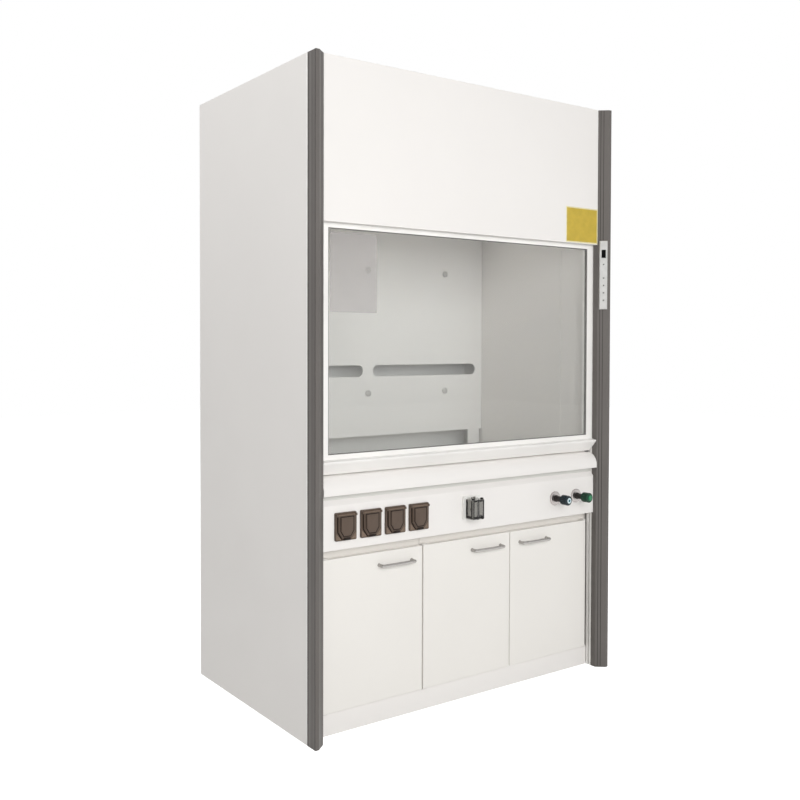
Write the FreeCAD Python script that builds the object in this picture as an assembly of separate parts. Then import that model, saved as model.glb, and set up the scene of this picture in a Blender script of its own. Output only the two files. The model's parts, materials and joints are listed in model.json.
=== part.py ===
"""Ducted fume hood: sheet-steel casing, counterweighted sash, lined chamber, service fascia and cabinets.

Millimetres, +Z up, front towards -Y. The origin is on the floor, midway between the valve knobs' faces and
the back panel. Depths into the hood are counted from the front nose of the corner columns.
"""
import FreeCAD, Part
import math
import os

V = FreeCAD.Vector

# Overall size
overall_width = 1500.0
body_height = 2350.0
body_depth = 850.0
knob_reach = 35.0

# Sheet metal
casing_sheet = 1.5
casing_return = 18.0
running_gap = 2.0

# Corner columns
column_width = 50.0
column_depth = 49.0
column_wall = 2.5
column_cap = 3.0
nose_flat = 14.0
nose_corner = 1.0
front_panel_setback = 26.0
column_groove_width = 2.0
column_groove_depth = 1.0
column_groove_setback = 18.0

# Sash tracks, fixed behind the columns; the sash's top may rise to 10 short of their ends
track_width = 18.0
track_depth = 26.0
track_slot_setback = 10.0
track_slot_width = 7.0
track_slot_depth = 12.0
track_roof_gap = 80.0
weight_channel_depth = 62.0

# Worktop
worktop_top = 850.0
worktop_thickness = 20.0
worktop_setback = 54.0
worktop_rim = 56.0
worktop_dish = 7.0

# Airfoil sill, from the worktop's top and the sash's back
airfoil_rise = 64.0
airfoil_nose_radius = 52.0
airfoil_lip_drop = 1.0
airfoil_lip_return = 13.0
airfoil_sheet = 2.5
airfoil_rear_run = 75.0
airfoil_rear_fall = 21.0
airfoil_liner_gap = 1.0
airfoil_bracket_thickness = 12.0
airfoil_bracket_count = 4
airfoil_bracket_ahead = 17.0
airfoil_bracket_behind = 25.0

# Sash
sash_column_gap = 1.0
sash_depth = 25.0
sash_height = 882.0
sash_rest_gap = 4.0
sash_side_gap = 2.0
stile_width = 34.0
top_rail_height = 30.0
bottom_rail_height = 69.0
rail_wall = 2.5
rail_foot_setback = 12.0
lip_rise = 52.0
lip_reach = 24.0
lip_fall = 4.0
lip_edge_setback = 1.0
lip_edge_drop = 7.0
lip_under_setback = 3.0
lip_under_drop = 13.0
glass_thickness = 5.0
glass_setback = 3.0
glass_embed = 8.0
shoe_height = 60.0
shoe_clearance = 0.4
shoe_inset = 40.0

# Upper front panel
front_panel_overlap = 13.0
front_panel_side_gap = 1.0
front_panel_return = 20.0
front_panel_bend = 2.0

# Counterweights, cables and pulleys
weight_width = 24.0
weight_depth = 80.0
weight_height = 860.0
weight_hang = 156.0
weight_gap = 2.0
cable_radius = 1.5
cable_strands = 8
cable_inset = 17.0
pulley_width = 8.0
pulley_flange = 3.0
pulley_axle_radius = 4.0
pulley_drop = 44.0
axle_clearance = 0.05
bracket_plate = 3.0
bracket_gap = 1.0
bracket_half_width = 14.0

# Chamber
liner_thickness = 6.0
liner_column_gap = 10.0
liner_front_gap = 7.0
chamber_back_gap = 34.0
ceiling_drop = 164.0
batten_setback = 212.0
batten_width = 42.0
batten_thickness = 2.0
plenum_depth = 121.0
baffle_side_gap = 2.0
baffle_foot_rise = 113.0
baffle_ceiling_gap = 66.0
baffle_leg_width = 70.0
baffle_leg_margin = 16.0
slot_rise = 376.0
slot_height = 51.0
slot_web = 54.0
slot_end_margin = 43.0
post_across = 18.0
post_side_margin = 238.0
post_rises = (302.0, 847.0)
cap_nut_radius = 14.0
cap_nut_height = 12.0
cap_nut_chamfer = 5.0

# Exhaust collar
collar_radius = 125.0
collar_wall = 1.5
collar_neck_step = 3.0
collar_before_baffle = 35.0
collar_height = 100.0
collar_flange = 22.0
collar_flange_thickness = 2.0
collar_roof_ring = 15.0
collar_hole_gap = 0.5

# Lamp over the ceiling
lamp_window_length = 900.0
lamp_window_width = 120.0
lamp_setback = 320.0
lamp_glass_overlap = 15.0
lamp_glass_thickness = 4.0
lamp_housing_height = 95.0
lamp_housing_margin = 12.0
lamp_strip_width = 40.0
lamp_strip_height = 14.0

# Service fascia
fascia_setback = 41.0
fascia_sheet = 2.0
fascia_height = 173.0
fascia_chamfer = 13.0
fascia_chamfer_height = 18.0
fascia_cabinet_gap = 3.0
fascia_side_gap = 1.0

# Base cabinets
plinth_height = 80.0
plinth_recess = 9.0
plinth_sheet = 2.0
plinth_flange = 20.0
cabinet_back_gap = 28.0
cabinet_split_gap = 2.0
cabinet_side_gap = 2.0
cabinet_flange = 18.0
cabinet_shelf_drop = 9.0

# Doors
door_thickness = 20.0
door_setback = 61.0
door_cabinet_gap = 3.0
door_foot_gap = 4.0
door_fascia_gap = 35.0
door_rail_overlap = 16.0
door_side_gap = 21.0
door_split_gap = 6.0
door_pair_gap = 4.0
door_skin = 1.2
door_rim = 14.0
door_corner = 3.0
pivot_inset = 8.0
pivot_radius = 4.0
pivot_length = 16.0
pivot_tab_thickness = 3.0
pivot_tab_half_width = 12.0
pivot_gap = 0.5

# Handles
handle_centres = 150.0
handle_bar_radius = 5.0
handle_reach = 32.0
handle_bend = 11.0
handle_foot_radius = 7.0
handle_foot_thickness = 3.0
handle_free_edge = 48.0
handle_drop = 47.0

# Sockets on the fascia
socket_width = 90.0
socket_height = 98.0
socket_depth = 8.0
socket_corner = 3.0
socket_side_margin = 100.0
socket_pitch = 110.3
socket_count = 4
socket_rise = 81.0
socket_box = 58.0
socket_box_depth = 34.0
socket_face_radius = 26.0
socket_face_depth = 4.0
socket_face_drop = 4.0
socket_pin_hole_width = 3.0
socket_pin_hole_height = 8.0
socket_pin_hole_depth = 8.0
socket_pin_holes = ((0.0, 4.0), (-10.5, -14.0), (10.5, -14.0))
socket_lid_width = 72.0
socket_lid_height = 84.0
socket_lid_thickness = 5.0
socket_lid_foot_width = 38.0
socket_lid_taper = 25.0
socket_lid_steps = ((5.0, 1.6), (11.0, 1.4))
socket_tab_width = 26.0
socket_tab_drop = 5.0
socket_tab_lap = 3.0
socket_tab_proud = 3.0
socket_pin_radius = 2.0
socket_pin_clearance = 0.08
socket_pin_reach = 4.0
socket_pin_drop = 2.0
socket_ear = 7.0
socket_ear_height = 8.0
lid_gap = 0.5

# Switch socket with a smoked cover
switch_x = -8.0
switch_rise = 91.0
switch_plate = 86.0
switch_depth = 8.0
switch_cover_drop = 4.0
switch_cover_width = 60.0
switch_cover_height = 76.0
switch_cover_depth = 38.0
switch_cover_wall = 2.0
switch_cover_chamfer = 3.0
switch_pin_radius = 1.5
switch_pin_setback = 5.0
switch_ear_radius = 2.8
switch_ear_x = 14.0
switch_ear_width = 6.0
switch_lug_x = 8.0
switch_lug_width = 5.0
switch_insert = 44.0
switch_insert_proud = 3.0
switch_pin_holes = ((0.0, 8.0), (-9.0, -12.0), (9.0, -12.0))
switch_tab_width = 16.0
switch_tab_depth = 8.0
switch_tab_drop = 4.0

# Remote valves, placed from the fascia's right end
valve_margins = (237.5, 111.0)
valve_rise = 81.0
valve_flange_radius = 28.0
valve_flange_depth = 8.0
valve_flange_chamfer = 2.5
valve_stem_radius = 10.0
valve_body_radius = 14.0
valve_body_depth = 34.0
valve_port_radius = 8.0
valve_port_length = 60.0
valve_port_inset = 12.0
valve_spindle_radius = 4.0
valve_knob_radius = 20.0
valve_knob_length = 32.0
valve_knob_chamfer = 2.5
valve_knob_flutes = 12
valve_knob_flute_depth = 1.6
valve_knob_flute_width = 4.6
valve_knob_collar = 4.0
valve_knob_disc_radius = 11.0
valve_knob_disc = 2.0
valve_knob_bore_depth = 20.0

# Controller on the right column
controller_width = 32.0
controller_thickness = 10.0
controller_drop = 284.0
controller_height = 287.0
controller_chamfer = 2.0
display_width = 18.0
display_rise = 215.0
display_height = 35.0
display_recess = 1.0
button_radius = 4.5
button_clearance = 0.2
button_length = 6.0
button_proud = 1.2
button_well = 6.0
button_rises = (188.0, 131.0, 100.0, 69.0, 38.0)

# Depths worked out from the sizes above
nose_y = -(body_depth + knob_reach) / 2 + knob_reach
front_panel_y = nose_y + front_panel_setback
column_back_y = nose_y + column_depth
back_y = nose_y + body_depth
sash_y = column_back_y + sash_column_gap
sash_back_y = sash_y + sash_depth
glass_y = sash_y + glass_setback
liner_front_y = sash_back_y + liner_front_gap
chamber_back_y = back_y - chamber_back_gap
baffle_y = chamber_back_y - plenum_depth
collar_y = baffle_y - collar_before_baffle
lamp_y = nose_y + lamp_setback
worktop_y = nose_y + worktop_setback
fascia_y = nose_y + fascia_setback
door_y = nose_y + door_setback
door_back_y = door_y + door_thickness
cabinet_y = door_back_y + door_cabinet_gap
cabinet_back_y = back_y - cabinet_back_gap
cable_y = sash_y + sash_depth / 2

# Widths
half_width = overall_width / 2
casing_inner_x = half_width - casing_sheet
column_inner_x = half_width - column_width
sash_half_width = column_inner_x - sash_side_gap
glass_half_width = sash_half_width - stile_width
worktop_half_width = column_inner_x
fascia_half_width = column_inner_x - fascia_side_gap
cabinet_half_width = column_inner_x - cabinet_side_gap
chamber_half_width = column_inner_x - liner_column_gap
baffle_half_width = chamber_half_width - baffle_side_gap
baffle_leg_x = baffle_half_width - baffle_leg_margin - baffle_leg_width / 2
post_x = baffle_half_width - post_side_margin
door_outer_x = cabinet_half_width - door_side_gap
door_width = (2 * door_outer_x - door_split_gap - door_pair_gap) / 3
cabinet_split_x = -door_outer_x + door_width + door_split_gap / 2
valve_x = [fascia_half_width - margin for margin in valve_margins]
cable_in_x = sash_half_width - cable_inset
weight_in_x = column_inner_x + track_width + casing_sheet + weight_gap
cable_out_x = weight_in_x + weight_width / 2
pulley_x = (cable_in_x + cable_out_x) / 2
cable_wrap_radius = (cable_out_x - cable_in_x) / 2

# Heights
fascia_top = worktop_top - worktop_thickness
fascia_bottom = fascia_top - fascia_height
cabinet_shelf_z = fascia_bottom - cabinet_shelf_drop
door_bottom = plinth_height + door_foot_gap
door_top = fascia_bottom - door_fascia_gap
cabinet_rail_bottom = door_top - door_rail_overlap
handle_z = door_top - handle_drop
socket_z = fascia_bottom + socket_rise
switch_z = fascia_bottom + switch_rise
switch_cover_z = switch_z - switch_cover_drop
valve_z = fascia_bottom + valve_rise
airfoil_top = worktop_top + airfoil_rise
sash_bottom = airfoil_top + sash_rest_gap
sash_top = sash_bottom + sash_height
glass_bottom = sash_bottom + bottom_rail_height
glass_top = sash_top - top_rail_height
lip_top = sash_bottom + lip_rise
front_panel_bottom = sash_top - front_panel_overlap
ceiling_z = body_height - ceiling_drop
track_height = body_height - track_roof_gap
pulley_axle_z = body_height - pulley_drop
weight_top = pulley_axle_z - weight_hang
baffle_bottom = worktop_top + baffle_foot_rise
baffle_top = ceiling_z - baffle_ceiling_gap
slot_bottom = worktop_top + slot_rise
controller_bottom = sash_top - controller_drop
display_bottom = controller_bottom + display_rise
button_heights = [controller_bottom + rise for rise in button_rises]


def box(x0, x1, y0, y1, z0, z1):
    """A block between two corners."""
    return Part.makeBox(x1 - x0, y1 - y0, z1 - z0, V(x0, y0, z0))


def cylinder(base, axis, radius, length):
    """A round bar from base along axis."""
    return Part.makeCylinder(radius, length, V(*base), V(*axis))


def face_from(edges):
    """A flat face inside a closed run of edges."""
    return Part.Face(Part.Wire(edges))


def polygon_face(points):
    """A flat face inside a closed polygon."""
    return Part.Face(Part.makePolygon([V(*p) for p in points] + [V(*points[0])]))


def profile_along_x(points, x0, x1):
    """A (y, z) outline carried from x0 to x1."""
    return polygon_face([(x0, y, z) for y, z in points]).extrude(V(x1 - x0, 0, 0))


def profile_along_z(points, z0, z1):
    """An (x, y) outline carried from z0 to z1."""
    return polygon_face([(x, y, z0) for x, y in points]).extrude(V(0, 0, z1 - z0))


def mirrored(shape):
    """The same piece on the other side of the hood."""
    return shape.mirror(V(0, 0, 0), V(1, 0, 0))


def join(shapes):
    """One solid from pieces that are welded or moulded together."""
    whole = shapes[0].fuse(list(shapes[1:])).removeSplitter()
    return whole.Solids[0] if len(whole.Solids) == 1 else whole


def upright_edges(shape, chosen):
    """The vertical edges whose place passes the test."""
    found = []
    for edge in shape.Edges:
        a, b = edge.Vertexes[0].Point, edge.Vertexes[-1].Point
        if abs(a.x - b.x) < 1e-6 and abs(a.y - b.y) < 1e-6 and chosen(a):
            found.append(edge)
    return found


def front_rim(shape):
    """The round edge that faces furthest forward on a turned piece."""
    front = shape.BoundBox.YMin
    return [e for e in shape.Edges if e.BoundBox.YMax < front + 0.1 and e.BoundBox.YLength < 0.01]


def save(node, shape):
    """Writes one sub-part."""
    shape.exportStep(os.path.join("parts", node + ".step"))


def corner_column():
    """Right column: capped extrusion with a flat nose, a slanted inner face and a grooved outer side."""
    outer_x = half_width
    wall = column_wall
    slope = front_panel_setback / (column_width - nose_flat - nose_corner)
    outline = [
        (outer_x, column_back_y),
        (outer_x, nose_y + nose_corner),
        (outer_x - nose_corner, nose_y),
        (outer_x - nose_flat - nose_corner, nose_y),
        (column_inner_x, front_panel_y),
        (column_inner_x, column_back_y),
    ]
    slant = math.sqrt(1 + slope * slope)
    inner_nose_x = outer_x - nose_flat - nose_corner - wall * (slant - 1) / slope
    cavity = [
        (outer_x - wall, column_back_y - wall),
        (outer_x - wall, nose_y + wall),
        (inner_nose_x, nose_y + wall),
        (column_inner_x + wall, front_panel_y + wall * (slant - slope)),
        (column_inner_x + wall, column_back_y - wall),
    ]
    column = profile_along_z(outline, 0, body_height)
    column = column.cut(profile_along_z(cavity, 0, body_height - column_cap))
    groove_y = nose_y + column_groove_setback
    groove = [
        (outer_x, groove_y),
        (outer_x - column_groove_depth, groove_y + column_groove_width / 2),
        (outer_x, groove_y + column_groove_width),
    ]
    return column.cut(profile_along_z(groove, 0, body_height))


def side_panel():
    """Right outer panel: a skin with folded front and back edges."""
    skin = box(casing_inner_x, half_width, column_back_y, back_y, 0, body_height)
    fold_in = half_width - casing_return
    fold_top = body_height - casing_sheet
    front_fold = box(fold_in, casing_inner_x, column_back_y, column_back_y + casing_sheet, 0, fold_top)
    back_fold = box(fold_in, casing_inner_x, back_y - casing_sheet, back_y, 0, fold_top)
    return join([skin, front_fold, back_fold])


def back_panel():
    """Plain sheet inside the side panels' back folds."""
    y1 = back_y - casing_sheet
    return box(-casing_inner_x, casing_inner_x, y1 - casing_sheet, y1, 0, body_height - casing_sheet)


def top_panel():
    """Roof sheet with the hole for the exhaust collar."""
    z0 = body_height - casing_sheet
    y0 = column_back_y + casing_sheet
    roof = box(-casing_inner_x, casing_inner_x, y0, back_y, z0, body_height)
    radius = collar_radius + collar_neck_step + collar_hole_gap
    hole = cylinder((0, collar_y, z0), (0, 0, 1), radius, casing_sheet)
    return roof.cut(hole)


def sash_track():
    """Right track: slotted front rib for the guide shoes and a channel round the counterweight."""
    y0 = column_back_y
    y1 = y0 + track_depth
    x0 = column_inner_x
    x1 = x0 + track_width
    rib = box(x0, x1, y0, y1, 0, track_height)
    slot_y = y0 + track_slot_setback
    slot = box(x0, x0 + track_slot_depth, slot_y, slot_y + track_slot_width, 0, track_height)
    channel_y = y1 + weight_channel_depth
    web = box(x1, x1 + casing_sheet, y0 + casing_sheet, channel_y, 0, track_height)
    end = box(x1, casing_inner_x, channel_y - casing_sheet, channel_y, 0, track_height)
    return join([rib.cut(slot), web, end])


def front_panel():
    """Upper front panel: a tray open to the back, with bent edges and a top fold that meets the roof."""
    x1 = column_inner_x - front_panel_side_gap
    y0 = front_panel_y
    y1 = y0 + front_panel_return
    y_roof = column_back_y + casing_sheet
    z0, z1 = front_panel_bottom, body_height
    block = box(-x1, x1, y0, y1, z0, z1)
    block = block.makeFillet(front_panel_bend, upright_edges(block, lambda p: p.y < y0 + 0.1))
    t = casing_sheet
    hollow = box(-x1 + t, x1 - t, y0 + t, y1, z0 + t, z1 - t)
    hollow = hollow.makeFillet(
        front_panel_bend - t, upright_edges(hollow, lambda p: p.y < y0 + t + 0.1)
    )
    return join([block.cut(hollow), box(-x1, x1, y1, y_roof, z1 - t, z1)])


def side_liner():
    """Right chamber wall, with a thin batten over its joint."""
    x0 = chamber_half_width
    end_y = chamber_back_y + liner_thickness
    wall = box(x0, x0 + liner_thickness, liner_front_y, end_y, worktop_top, ceiling_z)
    batten_y = nose_y + batten_setback
    batten = box(x0 - batten_thickness, x0, batten_y, batten_y + batten_width, worktop_top, ceiling_z)
    return join([wall, batten])


def back_liner():
    """Chamber back, behind the baffle."""
    x1 = chamber_half_width
    return box(-x1, x1, chamber_back_y, chamber_back_y + liner_thickness, worktop_top, ceiling_z)


def front_liner():
    """Wall over the sash opening, behind the raised sash."""
    x1 = chamber_half_width
    return box(-x1, x1, liner_front_y, liner_front_y + liner_thickness, sash_top, ceiling_z)


def ceiling_liner():
    """Chamber ceiling with the lamp window and the exhaust hole."""
    x1 = chamber_half_width + liner_thickness
    z1 = ceiling_z + liner_thickness
    board = box(-x1, x1, liner_front_y, chamber_back_y + liner_thickness, ceiling_z, z1)
    half_l, half_w = lamp_window_length / 2, lamp_window_width / 2
    window = box(-half_l, half_l, lamp_y - half_w, lamp_y + half_w, ceiling_z, z1)
    hole = cylinder((0, collar_y, ceiling_z), (0, 0, 1), collar_radius - collar_wall, liner_thickness)
    return board.cut(window).cut(hole)


def obround(x0, x1, z0, z1, y0, depth):
    """A long hole with round ends, through a board that faces -Y."""
    r = (z1 - z0) / 2
    zc = (z0 + z1) / 2
    middle = box(x0 + r, x1 - r, y0, y0 + depth, z0, z1)
    ends = [cylinder((x, y0, zc), (0, 1, 0), r, depth) for x in (x0 + r, x1 - r)]
    return join([middle] + ends)


def baffle():
    """Board in front of the exhaust plenum, with two long slots, standing on two legs."""
    x1 = baffle_half_width
    y1 = baffle_y + liner_thickness
    board = box(-x1, x1, baffle_y, y1, baffle_bottom, baffle_top)
    half_leg = baffle_leg_width / 2
    legs = [
        box(x - half_leg, x + half_leg, baffle_y, y1, worktop_top - worktop_dish, baffle_bottom)
        for x in (-baffle_leg_x, baffle_leg_x)
    ]
    board = join([board] + legs)
    for side in (-1, 1):
        low, high = sorted((side * slot_web / 2, side * (x1 - slot_end_margin)))
        slot = obround(low, high, slot_bottom, slot_bottom + slot_height, baffle_y, liner_thickness)
        board = board.cut(slot)
    return board


def post_places():
    """Where the baffle is fixed: three columns and two rows."""
    return [(x, worktop_top + rise) for x in (-post_x, 0.0, post_x) for rise in post_rises]


def baffle_posts():
    """Six-sided posts that hold the baffle off the back liner."""
    y0 = baffle_y + liner_thickness
    corner = post_across / math.sqrt(3)
    posts = []
    for x, z in post_places():
        ring = []
        for i in range(6):
            turn = math.pi * i / 3
            ring.append((x + corner * math.cos(turn), y0, z + corner * math.sin(turn)))
        posts.append(polygon_face(ring).extrude(V(0, chamber_back_y - y0, 0)))
    return Part.Compound(posts)


def baffle_cap_nuts():
    """White crowned nuts on the baffle's face."""
    nuts = []
    for x, z in post_places():
        nut = cylinder((x, baffle_y, z), (0, -1, 0), cap_nut_radius, cap_nut_height)
        nuts.append(nut.makeChamfer(cap_nut_chamfer, front_rim(nut)))
    return Part.Compound(nuts)


def duct_collar():
    """Exhaust neck with a flange on the ceiling, a ring on the roof and a narrower spigot over it."""
    z0 = ceiling_z + liner_thickness
    z_ring = body_height + collar_flange_thickness
    z_top = body_height + collar_height
    spigot, neck = collar_radius, collar_radius + collar_neck_step
    half_section = [
        (spigot - collar_wall, z_top),
        (spigot, z_top),
        (spigot, z_ring),
        (neck + collar_roof_ring, z_ring),
        (neck + collar_roof_ring, body_height),
        (neck, body_height),
        (neck, z0 + collar_flange_thickness),
        (neck + collar_flange, z0 + collar_flange_thickness),
        (neck + collar_flange, z0),
        (neck - collar_wall, z0),
        (neck - collar_wall, z_ring - collar_wall),
        (spigot - collar_wall, z_ring - collar_wall),
    ]
    section = polygon_face([(r, collar_y, z) for r, z in half_section])
    return section.revolve(V(0, collar_y, 0), V(0, 0, 1), 360)


def lamp_glass():
    """Glass over the ceiling's window."""
    half_l = lamp_window_length / 2 + lamp_glass_overlap
    half_w = lamp_window_width / 2 + lamp_glass_overlap
    z0 = ceiling_z + liner_thickness
    return box(-half_l, half_l, lamp_y - half_w, lamp_y + half_w, z0, z0 + lamp_glass_thickness)


def lamp_housing():
    """Sheet box round the glass, open downwards."""
    half_l = lamp_window_length / 2 + lamp_glass_overlap + lamp_housing_margin
    half_w = lamp_window_width / 2 + lamp_glass_overlap + lamp_housing_margin
    z0 = ceiling_z + liner_thickness
    z1 = z0 + lamp_housing_height
    t = casing_sheet
    outside = box(-half_l, half_l, lamp_y - half_w, lamp_y + half_w, z0, z1)
    inside = box(-half_l + t, half_l - t, lamp_y - half_w + t, lamp_y + half_w - t, z0, z1 - t)
    return outside.cut(inside)


def lamp_strip():
    """Light bar under the housing's roof."""
    half_l = lamp_window_length / 2
    z1 = ceiling_z + liner_thickness + lamp_housing_height - casing_sheet
    half_w = lamp_strip_width / 2
    bar = box(-half_l, half_l, lamp_y - half_w, lamp_y + half_w, z1 - lamp_strip_height, z1)
    foot = z1 - lamp_strip_height
    low = [e for e in bar.Edges if e.BoundBox.ZMax < foot + 0.1 and e.BoundBox.XLength > 1]
    return bar.makeChamfer(lamp_strip_height / 2, low)


def worktop():
    """Slab with a raised rim round a shallow dish."""
    x1 = worktop_half_width
    y1 = chamber_back_y + liner_thickness
    slab = box(-x1, x1, worktop_y, y1, worktop_top - worktop_thickness, worktop_top)
    dish = box(
        -x1 + worktop_rim, x1 - worktop_rim, worktop_y + worktop_rim, y1 - worktop_rim,
        worktop_top - worktop_dish, worktop_top,
    )
    leg_seats = [
        box(x - baffle_leg_width / 2, x + baffle_leg_width / 2, baffle_y, baffle_y + liner_thickness,
            worktop_top - worktop_dish, worktop_top)
        for x in (-baffle_leg_x, baffle_leg_x)
    ]
    slab = slab.cut(dish)
    for seat in leg_seats:
        slab = slab.cut(seat)
    return slab


def airfoil():
    """Curved sill: a sheet that slopes up from the back, rolls over and drops to a folded lip."""
    y_top = sash_back_y
    y_rear = y_top + airfoil_rear_run
    z_centre = airfoil_top - airfoil_nose_radius
    z_rear = airfoil_top - airfoil_rear_fall
    z_lip = worktop_top - airfoil_lip_drop
    t = airfoil_sheet
    outer, inner = airfoil_nose_radius, airfoil_nose_radius - t
    turn = math.sqrt(0.5)
    x0 = -fascia_half_width

    def at(y, z):
        return V(x0, y, z)

    y_front = y_top - outer
    y_lip = y_front + airfoil_lip_return
    edges = [
        Part.LineSegment(at(y_rear, z_rear), at(y_top, airfoil_top)).toShape(),
        Part.Arc(
            at(y_top, airfoil_top),
            at(y_top - outer * turn, z_centre + outer * turn),
            at(y_front, z_centre),
        ).toShape(),
        Part.LineSegment(at(y_front, z_centre), at(y_front, z_lip)).toShape(),
        Part.LineSegment(at(y_front, z_lip), at(y_lip, z_lip)).toShape(),
        Part.LineSegment(at(y_lip, z_lip), at(y_lip, z_lip + t)).toShape(),
        Part.LineSegment(at(y_lip, z_lip + t), at(y_front + t, z_lip + t)).toShape(),
        Part.LineSegment(at(y_front + t, z_lip + t), at(y_front + t, z_centre)).toShape(),
        Part.Arc(
            at(y_front + t, z_centre),
            at(y_top - inner * turn, z_centre + inner * turn),
            at(y_top, airfoil_top - t),
        ).toShape(),
        Part.LineSegment(at(y_top, airfoil_top - t), at(y_rear, z_rear - t)).toShape(),
        Part.LineSegment(at(y_rear, z_rear - t), at(y_rear, z_rear)).toShape(),
    ]
    sheet = face_from(edges).extrude(V(2 * fascia_half_width, 0, 0))
    ear_x = chamber_half_width - airfoil_liner_gap
    ear_y = liner_front_y - airfoil_liner_gap
    notch = box(ear_x, worktop_half_width, ear_y, y_rear, worktop_top, airfoil_top)
    return sheet.cut(notch).cut(mirrored(notch))


def airfoil_brackets():
    """Upright blocks that carry the sill over the worktop's front rim."""
    y_top = sash_back_y
    y_front = y_top - airfoil_bracket_ahead
    y_back = y_top + airfoil_bracket_behind
    z_under = airfoil_top - airfoil_sheet
    slope = airfoil_rear_fall / airfoil_rear_run
    inner = airfoil_nose_radius - airfoil_sheet
    z_centre = airfoil_top - airfoil_nose_radius
    z_front = z_centre + math.sqrt(inner ** 2 - (y_top - y_front) ** 2)
    outline = [
        (y_front, worktop_top),
        (y_back, worktop_top),
        (y_back, z_under - slope * (y_back - y_top)),
        (y_top, z_under),
        (y_front, z_front),
    ]
    half = airfoil_bracket_thickness / 2
    last_x = chamber_half_width - running_gap - half
    pitch = 2 * last_x / (airfoil_bracket_count - 1)
    blocks = []
    for i in range(airfoil_bracket_count):
        x = -last_x + i * pitch
        blocks.append(profile_along_x(outline, x - half, x + half))
    return Part.Compound(blocks)


def service_fascia():
    """Folded sheet with a slanted top edge, cut for the sockets, the switch and the valves."""
    t = fascia_sheet
    y0 = fascia_y
    z1 = fascia_top
    y_top = y0 + fascia_chamfer
    y_back = cabinet_y - fascia_cabinet_gap
    z_fold = z1 - fascia_chamfer_height
    ease = t * (math.hypot(fascia_chamfer, fascia_chamfer_height) - fascia_chamfer) / fascia_chamfer_height
    lean = t * (math.hypot(fascia_chamfer, fascia_chamfer_height) - fascia_chamfer_height) / fascia_chamfer
    outline = [
        (y_back, z1),
        (y_top, z1),
        (y0, z_fold),
        (y0, fascia_bottom),
        (y_back, fascia_bottom),
        (y_back, fascia_bottom + t),
        (y0 + t, fascia_bottom + t),
        (y0 + t, z_fold - lean),
        (y_top + ease, z1 - t),
        (y_back, z1 - t),
    ]
    sheet = profile_along_x(outline, -fascia_half_width, fascia_half_width)
    half = socket_box / 2
    cut_outs = [(socket_x(i), socket_z) for i in range(socket_count)] + [(switch_x, switch_z)]
    for x, z in cut_outs:
        sheet = sheet.cut(box(x - half, x + half, y0, y0 + t, z - half, z + half))
    for x in valve_x:
        sheet = sheet.cut(cylinder((x, y0, valve_z), (0, 1, 0), valve_body_radius, t))
    return sheet


def cabinet(x0, x1):
    """Folded sheet carcass: bottom, sides, back, a rail over the doors and a front flange all round."""
    t = casing_sheet
    y0, y1 = cabinet_y, cabinet_back_y
    z0 = plinth_height
    z1 = fascia_top
    shell = box(x0, x1, y0, y1, z0, z1)
    store = box(x0 + t, x1 - t, y0 + t, y1 - t, z0 + t, cabinet_shelf_z)
    service = box(x0 + t, x1 - t, y0, y1 - t, cabinet_shelf_z + t, z1 - t)
    mouth = box(
        x0 + cabinet_flange, x1 - cabinet_flange, y0, y0 + t, z0 + cabinet_flange, cabinet_rail_bottom
    )
    return shell.cut(store).cut(service).cut(mouth)


def plinth():
    """Ring of folded sheet under the cabinets, with a flange turned in along its top."""
    x1 = cabinet_half_width
    y0, y1 = cabinet_y - plinth_recess, cabinet_back_y
    t, f = plinth_sheet, plinth_flange
    ring = box(-x1, x1, y0, y1, 0, plinth_height)
    hollow = box(-x1 + t, x1 - t, y0 + t, y1 - t, 0, plinth_height - t)
    mouth = box(-x1 + f, x1 - f, y0 + f, y1 - f, plinth_height - t, plinth_height)
    return ring.cut(hollow).cut(mouth)


def door_span(index):
    """Left and right edges of a door and its hinge side (-1 left, +1 right)."""
    if index == 0:
        return -door_outer_x, -door_outer_x + door_width, -1
    right = door_outer_x - door_width
    if index == 1:
        return right - door_pair_gap - door_width, right - door_pair_gap, -1
    return right, door_outer_x, 1


def pivot_x(index):
    """Centre of a door's pivots."""
    left, right, side = door_span(index)
    return left + pivot_inset if side < 0 else right - pivot_inset


def door(index):
    """Double-skin door with rounded upright edges and a pivot bore at the top and bottom."""
    left, right, side = door_span(index)
    block = box(left, right, door_y, door_back_y, door_bottom, door_top)
    block = block.makeFillet(door_corner, upright_edges(block, lambda p: True))
    hollow = box(
        left + door_rim, right - door_rim, door_y + door_skin, door_back_y - door_skin,
        door_bottom + door_rim, door_top - door_rim,
    )
    block = block.cut(hollow)
    x, y = pivot_x(index), door_y + door_thickness / 2
    depth = pivot_length + pivot_gap
    r = pivot_radius + axle_clearance
    block = block.cut(cylinder((x, y, door_bottom), (0, 0, 1), r, depth))
    return block.cut(cylinder((x, y, door_top), (0, 0, -1), r, depth))


def door_pivots():
    """Six tabs on the cabinets' fronts, each with a pin into a door's edge."""
    y = door_y + door_thickness / 2
    pieces = []
    for index in range(3):
        x = pivot_x(index)
        x0, x1 = x - pivot_tab_half_width, x + pivot_tab_half_width
        front = y - pivot_inset
        for z, up in ((door_bottom - pivot_gap, 1), (door_top + pivot_gap, -1)):
            z_far = z - up * pivot_tab_thickness
            tab = box(x0, x1, front, cabinet_y, min(z, z_far), max(z, z_far))
            pin = cylinder((x, y, z), (0, 0, up), pivot_radius, pivot_length)
            pieces.append(join([tab, pin]))
    return Part.Compound(pieces)


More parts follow.
